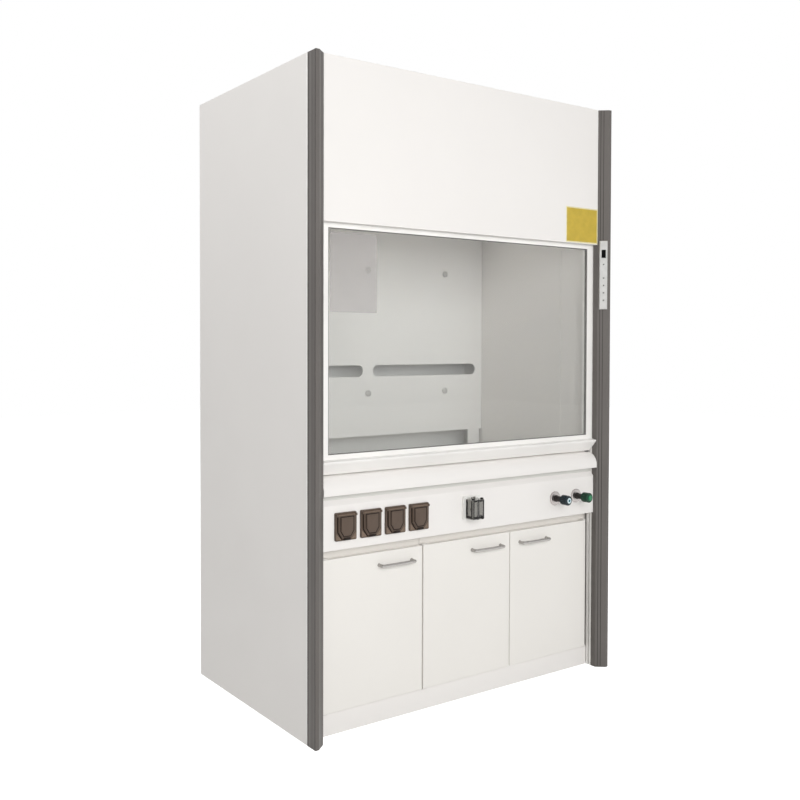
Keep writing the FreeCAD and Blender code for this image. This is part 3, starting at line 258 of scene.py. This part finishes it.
# Painted shade: the latch's near-black stands for the shade in its recess.
LATCH_PAINTED_SHADE = moulded("latch_painted_shade", srgb(34, 27, 23), 0.45, gloss=0.2)
# Painted highlight: the hinge barrel's brown is lighter than the lid's.
BARREL_PAINTED_HIGHLIGHT = moulded("barrel_painted_highlight", srgb(112, 95, 81), 0.4, gloss=0.35)
# Painted highlight: the ribs' brown is lighter than the frame's.
RIB_PAINTED_HIGHLIGHT = moulded("rib_painted_highlight", srgb(150, 131, 114), 0.4, gloss=0.35)
# Painted shade: near-black for the gap round each lid and the line on its step.
PAINTED_OUTLINE_SHADE = moulded("painted_outline_shade", srgb(36, 29, 25), 0.6, gloss=0.15)
# Painted shade on the smoked cover's edges and walls, and the colour of its dark lugs and catch.
COVER_SHADE_AND_DARK_PARTS = moulded("cover_shade_and_dark_parts", srgb(30, 29, 28), 0.35, gloss=0.3)
# Painted highlight: the pale ring on the left knob's face.
KNOB_RING_HIGHLIGHT = moulded("knob_ring_highlight", srgb(214, 232, 236), 0.3)
KNOB_CENTRE = moulded("knob_centre", srgb(24, 96, 112), 0.25)
KNOB_FACE = moulded("knob_face", srgb(22, 124, 78), 0.28)
FACE_PALE = moulded("face_pale", srgb(240, 239, 236), 0.35)
# Painted highlight: near-white for the highlight along the joint of each side panel and column.
PAINTED_EDGE_HIGHLIGHT = moulded("painted_edge_highlight", srgb(250, 248, 245), 0.4, 0.03)
STEM_DARK = moulded("stem_dark", srgb(40, 34, 33), 0.45, gloss=0.3)
# Painted shade and highlight on the columns: dark lines where grooves and joints fall in shade, a light
# line for the highlight on a rib.
PAINTED_GROOVE_SHADE = extrusion("painted_groove_shade", srgb(66, 63, 61), 0.5, 0.2)
PAINTED_RIB_HIGHLIGHT = extrusion("painted_rib_highlight", srgb(126, 122, 119), 0.45, 0.3)
SCREW = brushed("screw", srgb(190, 188, 186), 0.3, (1, 1, 1))
ROPE = brushed("rope", srgb(170, 168, 165), 0.35, (1, 1, 0.2))
# Painted shade: the cabinets' white is darker than the casing's, for the shade in the recess between fascia
# and doors.
CABINET_RECESS_SHADE = powder_coat("cabinet_recess_shade", srgb(226, 222, 216))

# Nodes whose tone differs from that of their slot
OWN_FINISH = {
    # The cabinets carry painted recess shade.
    "left_cabinet": CABINET_RECESS_SHADE,
    "right_cabinet": CABINET_RECESS_SHADE,
    # Painted light: the baffle and the back liner are lighter than the liner walls of the same board,
    # lifting them where they fall in shade.
    "baffle": board("baffle_board_painted_light", srgb(245, 243, 241)),
    "back_liner": board("back_board_painted_light", srgb(240, 239, 237)),
    "door_pivots": powder_coat("pivot_white", srgb(225, 222, 218)),
}

for node_name, node in nodes.items():
    node.data.materials.clear()
    node.data.materials.append(OWN_FINISH.get(node_name, FINISH[SLOT_OF[node_name]]))


# Extra pieces: shapes, all in millimetres

def span(node):
    """Lowest and highest corner of a solid, in millimetres."""
    low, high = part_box(node)
    return low / MM, high / MM


def facing(x, y, z, out=FRONT):
    """A place whose Z axis points out of a face and whose Y axis points up."""
    out = Vector(out).normalized()
    up = UP if abs(out.z) < 0.9 else REAR
    across = up.cross(out).normalized()
    turn = Matrix((across, out.cross(across), out)).transposed().to_4x4()
    return Matrix.Translation((x, y, z)) @ turn


def round_edges(bm, verts, offset):
    """Rounds the edges between these points."""
    if offset:
        chosen = set(verts)
        edges = [e for e in bm.edges if e.verts[0] in chosen and e.verts[1] in chosen]
        bmesh.ops.bevel(bm, geom=edges, offset=offset, segments=2, profile=0.5, affect="EDGES")


def slab(bm, low, high, edge=0.0):
    """A box between two corners."""
    low, high = Vector(low), Vector(high)
    verts = bmesh.ops.create_cube(bm, size=1.0)["verts"]
    for v in verts:
        v.co = Vector(low[i] + (v.co[i] + 0.5) * (high[i] - low[i]) for i in range(3))
    round_edges(bm, verts, edge)


def oblong(width, height):
    """A rectangle's outline round the origin."""
    x, y = width / 2, height / 2
    return [(-x, -y), (x, -y), (x, y), (-x, y)]


def plate(bm, place, outline, depth, edge=0.0):
    """An outline in the place's plane, pushed out along its Z axis."""
    rear = [bm.verts.new(place @ Vector((x, y, 0))) for x, y in outline]
    front = [bm.verts.new(place @ Vector((x, y, depth))) for x, y in outline]
    bm.faces.new(rear[::-1])
    bm.faces.new(front)
    for i in range(len(outline)):
        j = (i + 1) % len(outline)
        bm.faces.new((rear[i], rear[j], front[j], front[i]))
    round_edges(bm, front, edge)


def turned(bm, place, profile, segments=32):
    """Turned round the place's Z axis; the profile lists (radius, height)."""
    rings = []
    for radius, height in profile:
        if radius < 0.001:
            rings.append([bm.verts.new(place @ Vector((0, 0, height)))])
            continue
        rings.append([
            bm.verts.new(place @ Vector((radius * math.cos(a), radius * math.sin(a), height)))
            for a in (2 * math.pi * i / segments for i in range(segments))
        ])
    for low, high in zip(rings, rings[1:]):
        for i in range(segments):
            j = (i + 1) % segments
            face = [low[i % len(low)], low[j % len(low)], high[j % len(high)], high[i % len(high)]]
            bm.faces.new(list(dict.fromkeys(face)))
    for ring in (rings[0][::-1], rings[-1]):
        if len(ring) > 1:
            bm.faces.new(ring)


def rod(bm, path, radius, segments=16):
    """A round bar along a path."""
    points = [Vector(p) for p in path]
    rings = []
    side = None
    for i, point in enumerate(points):
        ahead = (points[min(i + 1, len(points) - 1)] - points[max(i - 1, 0)]).normalized()
        if side is None:
            side = ahead.orthogonal().normalized()
        side = (side - ahead * side.dot(ahead)).normalized()
        other = ahead.cross(side)
        rings.append([
            bm.verts.new(point + radius * (math.cos(a) * side + math.sin(a) * other))
            for a in (2 * math.pi * k / segments for k in range(segments))
        ])
    for low, high in zip(rings, rings[1:]):
        for k in range(segments):
            j = (k + 1) % segments
            bm.faces.new((low[k], low[j], high[j], high[k]))
    bm.faces.new(rings[0][::-1])
    bm.faces.new(rings[-1])


def bend(centre, start, end, radius, steps=8, flat=(0, 1)):
    """Points on an arc round a centre, in the plane of two axes, angles in degrees."""
    points = []
    for i in range(steps + 1):
        angle = math.radians(start + (end - start) * i / steps)
        point = list(centre)
        point[flat[0]] += radius * math.cos(angle)
        point[flat[1]] += radius * math.sin(angle)
        points.append(point)
    return points


def piece(name, body, finish, fill, smooth=True):
    """Makes a piece from a function that fills its mesh, and lets it ride on a body."""
    bm = bmesh.new()
    fill(bm)
    bmesh.ops.recalc_face_normals(bm, faces=bm.faces)
    bmesh.ops.scale(bm, vec=(MM, MM, MM), verts=bm.verts)
    mesh = bpy.data.meshes.new(name)
    bm.to_mesh(mesh)
    bm.free()
    mesh.materials.append(finish)
    if smooth:
        mesh.shade_smooth()
        mesh.set_sharp_from_angle(angle=math.radians(35))
    obj = bpy.data.objects.new(name, mesh)
    bpy.context.scene.collection.objects.link(obj)
    if body:
        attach(obj, body)
    return obj


def evenly(first, last, count):
    """Places from one value to another, all as far apart."""
    return [first + (last - first) * i / (count - 1) for i in range(count)]


def screw_profile(radius, rise):
    """A pan head with a small socket."""
    return [
        (radius, 0), (radius, rise * 0.5), (radius * 0.75, rise), (radius * 0.4, rise),
        (radius * 0.36, rise * 0.3), (0, rise * 0.3),
    ]


# Extra pieces: sash, front and chamber

NOSE_FLAT = 15.0  # width of the flat front of each column
STILE_WIDTH = 34.0
PLATE_WIDTH, PLATE_HEIGHT = 194.0, 146.0
CABLE_RADIUS = 1.5
HIDDEN_CABLE = 470.0  # as long as the sash's travel, and 10 mm more


def slant(side):
    """A column's slanted face: its inner edge, the way from there to the nose, and where it faces."""
    low, high = span("right_column")
    inner = Vector((side * low.x, span("front_panel")[0].y, 0))
    run = Vector((side * (high.x - NOSE_FLAT), low.y, 0)) - inner
    return inner, run, Vector((side * run.y, -abs(run.x), 0)).normalized()


def yellow_plate():
    """Bare yellow plate with a pale edge, low on the front panel at the right."""
    low, high = span("front_panel")
    margin, inset = 2, 5
    x1, z0 = high.x - margin, low.z + margin
    x0, z1 = x1 - PLATE_WIDTH, z0 + PLATE_HEIGHT
    piece("plate_edge", "hood", PLATE_EDGE, lambda bm: slab(bm, (x0, low.y - 0.3, z0), (x1, low.y, z1)))
    piece("plate_field", "hood", PLATE_YELLOW, lambda bm: slab(
        bm, (x0 + inset, low.y - 0.5, z0 + inset), (x1 - inset, low.y - 0.3, z1 - inset)))


def glass_trim():
    """Bare film on the glass and the dark bead that holds the pane in its frame."""
    low, high = span("sash_glass")
    edge = span("sash_stiles")[1].x - STILE_WIDTH
    z0, z1 = span("sash_bottom_rail")[1].z, span("sash_top_rail")[0].z
    film_x, film_top, film_width, film_height = 10 - edge, z1 - 13, 203, 277
    piece("pane_film", "sash", FILM, lambda bm: slab(
        bm, (film_x, low.y - 0.25, film_top - film_height), (film_x + film_width, low.y, film_top)))

    def bead(bm):
        inner, depth = edge - 3, 2.5
        for y0, y1 in ((low.y - 1.6, low.y), (high.y, high.y + 3)):
            slab(bm, (-edge, y0, z0), (-inner, y1, z1))
            slab(bm, (inner, y0, z0), (edge, y1, z1))
            slab(bm, (-inner, y0, z0), (inner, y1, z0 + depth))
            slab(bm, (-inner, y0, z1 - depth), (inner, y1, z1))
    piece("glass_bead", "sash", GASKET, bead, False)


def side_bead_highlights():
    """Painted highlight: a white bead in the joint between each side panel and its column, lighter than the
    panels to stand for the highlight on that edge.
    """
    high = span("right_column")[1]
    sunk, proud, end_gap = 1.0, 0.25, 2.0
    y0, y1 = high.y + 1.2, high.y + 7.5

    def fill(bm):
        for side in (-1, 1):
            x0, x1 = sorted((side * (high.x - sunk), side * (high.x + proud)))
            slab(bm, (x0, y0, end_gap), (x1, y1, high.z - end_gap), 0.2)
    piece("side_bead_highlights", "hood", PAINTED_EDGE_HIGHLIGHT, fill)


def column_shade_and_highlight_lines():
    """Painted shade and highlight up the outer and the slanted faces of the columns: fine dark lines for
    the shade in their grooves and at the rear joint, and a light line for the highlight on a rib.
    """
    low, high = span("right_column")
    sunk, proud, end_gap = 0.5, 0.15, 4.0
    z0, z1 = end_gap, high.z - end_gap

    def outer(first, last):
        """Fills a line on each column's outer face, between two distances from its nose."""
        def fill(bm):
            for side in (-1, 1):
                x0, x1 = sorted((side * (high.x - sunk), side * (high.x + proud)))
                slab(bm, (x0, low.y + first, z0), (x1, low.y + last, z1))
        return fill
    # Dark lines are painted groove and joint shade; the light line is a painted rib highlight.
    piece("column_nose_groove_shade", "hood", PAINTED_GROOVE_SHADE, outer(1.2, 4.2), False)
    piece("column_rib_highlight", "hood", PAINTED_RIB_HIGHLIGHT, outer(31, 34.5), False)
    piece("column_joint_shade", "hood", PAINTED_GROOVE_SHADE, outer(43.5, 48), False)

    # Painted shade: two dark lines on each slanted face for the shade of its grooves.
    def slanted(bm):
        for side in (-1, 1):
            inner, run, out = slant(side)
            for share in (0.22, 0.5):
                spot = inner + run * share
                place = facing(spot.x, spot.y, (z0 + z1) / 2, out)
                plate(bm, place, oblong(2.6, z1 - z0), proud)
    piece("column_slant_groove_shade", "hood", PAINTED_GROOVE_SHADE, slanted, False)


def sash_bumpers():
    """Rubber pads under the sash's ends."""
    low, high = span("sash_bottom_rail")
    end_gap, width, front_gap, depth = 4, 16, 34, 12
    foot = span("airfoil")[1].z + 0.2
    y0, y1 = low.y + front_gap, low.y + front_gap + depth

    def pads(bm):
        for side in (-1, 1):
            x0, x1 = sorted((side * (high.x - end_gap - width), side * (high.x - end_gap)))
            slab(bm, (x0, y0, foot), (x1, y1, low.z), 0.6)
    piece("sash_pads", "sash", BLACK_RUBBER_AND_HOLE_SHADE, pads)


def cap_nuts():
    """Domed nuts in place of the plain ones."""
    low, high = span("baffle_cap_nuts")
    radius, rise, skirt = 14.0, high.y - low.y, 0.35
    dome = [(radius, 0), (radius, rise * skirt)]
    for i in range(1, 10):
        a = math.radians(9 * i)
        dome.append((radius * math.cos(a), rise * (skirt + (1 - skirt) * math.sin(a))))
    dome.append((0, rise))

    def fill(bm):
        for x in (low.x + radius, 0, high.x - radius):
            for z in (low.z + radius, high.z - radius):
                turned(bm, facing(x, high.y, z), dome)
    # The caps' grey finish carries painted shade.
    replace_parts(piece("cap_nut_domes", "hood", FINISH["cap_white"], fill), "baffle_cap_nuts")


def cables():
    """Cables: up from the sash, over the pulley and down, with a length hidden in the weight at rest."""
    pulley = span("right_pulley")
    axle = (pulley[0] + pulley[1]) / 2
    x_in, foot = 681.0, span("sash_top_rail")[1].z
    wrap = axle.x - x_in
    hidden_end = span("right_counterweight")[1].z - HIDDEN_CABLE

    def side_run(side):
        path = [(side * x_in, axle.y, foot), (side * x_in, axle.y, axle.z)]
        return lambda bm: rod(bm, path, CABLE_RADIUS, 12)

    def fixed(bm):
        path = bend(axle, 180, 0, wrap, 16, (0, 2)) + [(axle.x + wrap, axle.y, hidden_end)]
        for side in (-1, 1):
            rod(bm, [(side * x, y, z) for x, y, z in path], CABLE_RADIUS, 12)
    drop = piece("cable_drop", "hood", ROPE, fixed)
    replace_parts(drop, "sash_cables")
    for name, side in (("left", -1), ("right", 1)):
        run = piece(name + "_cable_run", "hood", ROPE, side_run(side))
        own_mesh(run)


def handles():
    """Bow handles with smooth bends."""
    for name in ("left", "middle", "right"):
        low, high = span(name + "_handle")
        radius, turn, inset = 5.8, 11.0, 6.0
        flange = [(7, 0), (7, 2), (6.2, 3), (0, 3)]
        x0, x1, z = low.x + inset, high.x - inset, (low.z + high.z) / 2
        tip, door = low.y + radius, high.y

        def fill(bm):
            path = [(x0, door, z)]
            path += bend((x0 + turn, tip + turn, z), 180, 270, turn)
            path += bend((x1 - turn, tip + turn, z), 270, 360, turn)
            rod(bm, path + [(x1, door, z)], radius, 20)
            for x in (x0, x1):
                turned(bm, facing(x, door, z), flange, 28)
        bow = piece(name + "_bow", name + "_leaf", FINISH["satin_steel"], fill)
        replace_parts(bow, name + "_handle")


def door_catches():
    """Magnetic catches hung on the cabinets' front rails, and their strikers on the doors."""
    rail_y = span("left_cabinet")[0].y
    half, strike_half, overlap = 23, 18, 16
    for name in ("left", "middle", "right"):
        high = span(name + "_door")[1]
        handle_low, handle_high = span(name + "_handle")
        x, foot = (handle_low.x + handle_high.x) / 2, high.z - overlap

        def catch(bm):
            slab(bm, (x - half, rail_y - 2, foot - 14), (x + half, rail_y + 16, foot - 0.2), 1.5)
            slab(bm, (x - half, rail_y + 1.6, foot - 2), (x + half, rail_y + 3.6, foot + 16), 0.5)
            for dx in (-14, 14):
                turned(bm, facing(x + dx, rail_y + 3.6, foot + 8, REAR), screw_profile(4, 1.8), 16)
        piece(name + "_catch", "hood", FINISH["switch_white"], catch)
        piece(name + "_striker", name + "_leaf", SCREW, lambda bm: slab(
            bm, (x - strike_half, high.y, foot - 12), (x + strike_half, high.y + 0.6, foot - 2), 0.2))


# Extra pieces: service fascia

def shield(inset, foot_z, top_z):
    """A lid's outline drawn in by a margin: straight sides and cut lower corners."""
    side, foot, taper = 36.0, 19.0, 25.0
    run = side - foot
    cut = math.hypot(run, taper)
    cut_z = foot_z + taper + inset * (cut - taper) / run
    foot -= inset * (cut - run) / taper
    side -= inset
    return [
        (-side, top_z - inset), (-side, cut_z), (-foot, foot_z + inset),
        (foot, foot_z + inset), (side, cut_z), (side, top_z - inset),
    ]


def sockets():
    """Each lid's hinge barrel, latch and ring, and its frame's gap outline and ribs: the barrel and the
    ribs are lighter than the lid's brown as painted highlights, and the latch, the gap outline and the ring
    on the lid's step are near-black as painted shade.
    """
    foot = span("socket_bases")[0].z
    barrel_half, barrel_radius, latch_half, grip_half = 35.5, 3.1, 13.4, 9
    first_rib, rib_pitch, rib_half = 25, 4, 1
    for number in range(1, 5):
        low, high = span("socket_lid_%d" % number)
        body = "lid_%d" % number
        x, hinge_z = (low.x + high.x) / 2, high.z - 2
        back, front = high.y, low.y
        face = back + 0.5

        # Painted highlight: the barrel is lighter than the lid.
        def barrel(bm):
            y = back - 2.5
            rod(bm, [(x - barrel_half, y, hinge_z), (x + barrel_half, y, hinge_z)], barrel_radius, 20)
        piece("lid_barrel_%d" % number, body, BARREL_PAINTED_HIGHLIGHT, barrel)

        # Painted shade: the latch is near-black to stand for the shade in its recess.
        def latch(bm):
            slab(bm, (x - latch_half, front - 0.4, low.z - 0.4),
                 (x + latch_half, back - 0.2, low.z + 8.4), 1.5)
            slab(bm, (x - grip_half, front - 2, low.z + 2), (x + grip_half, front, low.z + 6.5), 0.8)
        piece("lid_latch_%d" % number, body, LATCH_PAINTED_SHADE, latch)

        # Painted highlight: the ribs are lighter than the frame to stand for their highlights.
        def ribs(bm):
            for side in (-1, 1):
                for k in range(5):
                    rib, top = x + side * (first_rib + rib_pitch * k), foot + 9 + rib_pitch * k
                    slab(bm, (rib - rib_half, face - 1.2, foot + 4), (rib + rib_half, face, top), 0.3)
        piece("frame_ribs_highlight_%d" % number, "hood", RIB_PAINTED_HIGHLIGHT, ribs)

        # Painted shade: a dark plate round each lid for the shade in the gap between lid and frame.
        def gap_shade_outline(bm):
            plate(bm, facing(x, face, 0), shield(-3, low.z + 5, hinge_z - 9), 0.4)
        piece("lid_seal_%d" % number, "hood", PAINTED_OUTLINE_SHADE, gap_shade_outline)

        # Painted shade: a dark ring on the lid's first step for the shade line at its edge.
        def rim_shade_ring(bm):
            outer, inner = (shield(inset, low.z + 5, high.z) for inset in (6.4, 9.6))
            place = facing(x, front + 1.4, 0)
            for k in range(len(outer)):
                j = (k + 1) % len(outer)
                plate(bm, place, [outer[k], outer[j], inner[j], inner[k]], 0.2)
        piece("lid_rim_%d" % number, body, PAINTED_OUTLINE_SHADE, rim_shade_ring, False)


def switch():
    """Round socket face under the smoked cover, and the cover's edges and walls in near-black strips as
    painted shade, with its dark lugs and catch.
    """
    low, high = span("switch_cover")
    base_low, base_high = span("switch_base")
    x = (low.x + high.x) / 2
    lock = [(6.5, 0), (6.5, 3), (5.6, 4), (2.4, 4), (2.4, 2), (0, 2)]
    boss = [(7, 0), (7, 1.2), (5.5, 1.8), (5, 1), (0, 1)]

    proud, side_inset, left_rim, right_rim, top_rim, foot_rim = 0.3, 2.6, 5, 4, 6, 9

    # Painted shade: near-black strips on the cover's front border and side walls; the lock, boss and lugs
    # are dark parts.
    def shade_strips_and_lugs(bm):
        y0, y1, z0, z1 = low.y - proud, low.y + 1.4, low.z + 6.6, high.z - 8.6
        x0, x1 = low.x + side_inset, high.x - side_inset
        slab(bm, (x0, y0, z0), (x0 + left_rim, y1, z1), 0.3)
        slab(bm, (x1 - right_rim, y0, z0), (x1, y1, z1), 0.3)
        slab(bm, (x0 + left_rim, y0, z1 - top_rim), (x1 - right_rim, y1, z1), 0.3)
        slab(bm, (x0 + left_rim, y0, z0), (x1 - right_rim, y1, z0 + foot_rim), 0.3)
        foot, front, rear = low.z + 8, low.y + 10, high.y - 9
        for side_x in (low.x, high.x):
            inside, outside = side_x - proud, side_x + proud
            for first, last in ((low.y + 3, front), (rear, high.y - 1)):
                slab(bm, (inside, first, foot), (outside, last, high.z - 10), 0.2)
            slab(bm, (inside, front, foot), (outside, rear, foot + foot_rim), 0.2)
        turned(bm, facing(x + 18, y0, z0 + 4), lock, 24)
        turned(bm, facing(x - 6, y0, z0 + 4.5), boss, 24)
        for side in (-1, 1):
            lug = x + side * 22
            slab(bm, (lug - 4, low.y + 2, high.z - 8.8), (lug + 4, low.y + 12, high.z - 1), 0.8)
    piece("cover_shade_strips_and_lugs", "cover", COVER_SHADE_AND_DARK_PARTS, shade_strips_and_lugs)

    centre = (base_low + base_high) / 2
    face_y, hole_half, hole_height = high.y - 2.5, 1.7, 8
    dish = [(19, -0.5), (19, 1.2), (17.8, 2), (16.8, 0.5), (0, 0.5)]
    piece("switch_face", "hood", FACE_PALE, lambda bm: turned(
        bm, facing(centre.x, face_y, centre.z), dish, 40))

    # Painted shade: dark patches on the face at the three pin openings.
    def hole_shade_marks(bm):
        for dx, dz in ((0, 8), (-9, -12), (9, -12)):
            hole_x, foot = centre.x + dx, centre.z + dz
            slab(bm, (hole_x - hole_half, face_y - 0.7, foot),
                 (hole_x + hole_half, face_y - 0.4, foot + hole_height))
    piece("switch_hole_shade", "hood", BLACK_RUBBER_AND_HOLE_SHADE, hole_shade_marks)


def valve_faces():
    """Coloured faces on the two knobs, a near-white ring on the left one as painted highlight, and dark
    collars round their stems.
    """
    sleeve = [(13.5, 0), (13.5, 5), (11.5, 6.5), (11.5, 35.4), (0, 35.4)]
    faces = {
        "left": (
            # Painted highlight: a pale ring round the left knob's face.
            ("left_ring_highlight", KNOB_RING_HIGHLIGHT, [(11, -1.6), (11, 0.3), (0, 0.3)]),
            ("left_centre", KNOB_CENTRE, [(5, 0.2), (5, 0.8), (0, 0.8)]),
        ),
        "right": (("right_face", KNOB_FACE, [(11, -1.6), (11, 0.2), (9, 0.8), (0, 0.8)]),),
    }
    for side, parts in faces.items():
        low, high = span(side + "_valve_knob")
        x, z = (low.x + high.x) / 2, (low.z + high.z) / 2
        for name, finish, profile in parts:
            piece(name, side + "_knob", finish, lambda bm: turned(bm, facing(x, low.y, z), profile))
        piece(side + "_stem_sleeve", "hood", STEM_DARK, lambda bm: turned(
            bm, facing(x, high.y + 36, z), sleeve))


def controller():
    """Dark display glass and a small mark on each button."""
    out = slant(1)[2]
    reach, display_rise = 3.35, 232.5
    mark = [(2.2, -0.2), (2.2, 0.1), (0, 0.1)]
    centres = [sum(span("controller_button_%d" % number), Vector()) / 2 for number in range(1, 6)]
    for number, centre in enumerate(centres, 1):
        tip = centre + out * reach
        piece("button_mark_%d" % number, "button_%d" % number, INK, lambda bm: turned(
            bm, facing(*tip, out), mark, 20))
    face = centres[0] + out
    z = span("controller_case")[0].z + display_rise
    piece("display_glass", "hood", DISPLAY, lambda bm: plate(
        bm, facing(face.x, face.y, z, out), oblong(17, 34), 0.6))


def fixings():
    """Screws on the back, the roof and the collar's ring."""
    low, high = span("back_panel")
    ring_low, ring_high = span("duct_collar")
    centre = (ring_low + ring_high) / 2
    ring_z, ring_radius, ring_screws = span("top_panel")[1].z + 2, 136, 8
    side_gap, row_gap = 10, 12
    head = screw_profile(5, 2.4)

    def fill(bm):
        for z in evenly(low.z + 75, high.z - 75, 9):
            for x in (low.x + side_gap, high.x - side_gap):
                turned(bm, facing(x, high.y, z, REAR), head, 16)
        for x in evenly(low.x + 150, high.x - 150, 6):
            for z in (low.z + row_gap, high.z - row_gap):
                turned(bm, facing(x, high.y, z, REAR), head, 16)
        for i in range(ring_screws):
            a = 2 * math.pi * (i + 0.5) / ring_screws
            x, y = centre.x + ring_radius * math.cos(a), centre.y + ring_radius * math.sin(a)
            turned(bm, facing(x, y, ring_z, UP), head, 16)
    piece("casing_screws", "hood", SCREW, fill)


yellow_plate()
glass_trim()
side_bead_highlights()
column_shade_and_highlight_lines()
sash_bumpers()
cap_nuts()
cables()
handles()
door_catches()
sockets()
switch()
valve_faces()
controller()
fixings()


# Camera

def place_camera():
    """The photograph's viewpoint."""
    data = bpy.data.cameras.new("camera")
    data.sensor_width = 36.0
    data.lens = 40.71
    data.shift_x = 0.1390
    data.shift_y = -0.0461
    camera = bpy.data.objects.new("camera", data)
    camera.location = (-2.4404, -2.9068, 1.3681)
    camera.rotation_euler = (math.radians(90 - 1.175), 0.0, math.radians(-32.379))
    bpy.context.scene.collection.objects.link(camera)
    bpy.context.scene.camera = camera


# Light and floor

def camera_like(holder):
    """1 for rays from the camera or by way of gloss and glass, 0 for diffuse light."""
    rays = add(holder, "LightPath").outputs
    total = rays["Is Camera Ray"]
    for name in ("Is Glossy Ray", "Is Transmission Ray"):
        total = add(holder, "Math", {0: total, 1: rays[name]}, operation="MAXIMUM").outputs[0]
    return total


def light_world(ambient):
    """White for the camera and reflections, softer for the light that falls on the object."""
    world = bpy.data.worlds.new("studio")
    bpy.context.scene.world = world
    world.use_nodes = True
    world.node_tree.nodes.clear()
    seen = add(world, "Background", {"Color": WHITE})
    felt = add(world, "Background", {"Color": (1.0, 0.992, 0.98, 1), "Strength": ambient})
    mixer = add(world, "MixShader", {0: camera_like(world), 1: felt.outputs[0], 2: seen.outputs[0]})
    add(world, "OutputWorld", {"Surface": mixer.outputs[0]})


def soft_light(name, location, target, size, power, mirrored=False):
    """A square softbox aimed at a point; gloss shows it only where mirrored is set."""
    data = bpy.data.lights.new(name, "AREA")
    data.shape = "SQUARE"
    data.size = size
    data.energy = power
    lamp = bpy.data.objects.new(name, data)
    lamp.visible_glossy = mirrored
    lamp.location = location
    lamp.rotation_euler = (Vector(target) - Vector(location)).to_track_quat("-Z", "Y").to_euler()
    bpy.context.scene.collection.objects.link(lamp)


def lay_floor():
    """Pale floor that reads white and keeps the object's shadow."""
    mesh = bpy.data.meshes.new("floor")
    width, glow = 28.0, 0.93
    mesh.from_pydata([(x, y, 0) for x, y in oblong(width, width)], [], [(0, 1, 2, 3)])
    floor = bpy.data.objects.new("floor", mesh)
    floor.location = (0, 0, -0.0005)
    bpy.context.scene.collection.objects.link(floor)
    m = new_material("studio_floor")
    strength = add(m, "Math", {0: camera_like(m), 1: glow}, operation="MULTIPLY").outputs[0]
    sent = {
        "Base Color": (0.62, 0.62, 0.61, 1), "Roughness": 0.9, "Specular IOR Level": 0.0,
        "Emission Color": WHITE, "Emission Strength": strength,
    }
    close(m, add(m, "BsdfPrincipled", sent).outputs[0])
    mesh.materials.append(m)


place_camera()
light_world(0.26)
soft_light("right", (1.0, -4.8, 1.9), (0, -0.2, 1.3), 2.6, 51)
soft_light("front", (-2.2, -4.8, 2.4), (0, -0.3, 1.3), 2.6, 143)
soft_light("left", (-3.6, 0.6, 4.2), (-0.75, 0.1, 1.9), 2.4, 66, mirrored=True)
soft_light("rear", (4.4, 4.0, 3.0), (0.2, 0.2, 1.2), 3.0, 140)
lay_floor()
bpy.context.scene.view_settings.view_transform = "Standard"
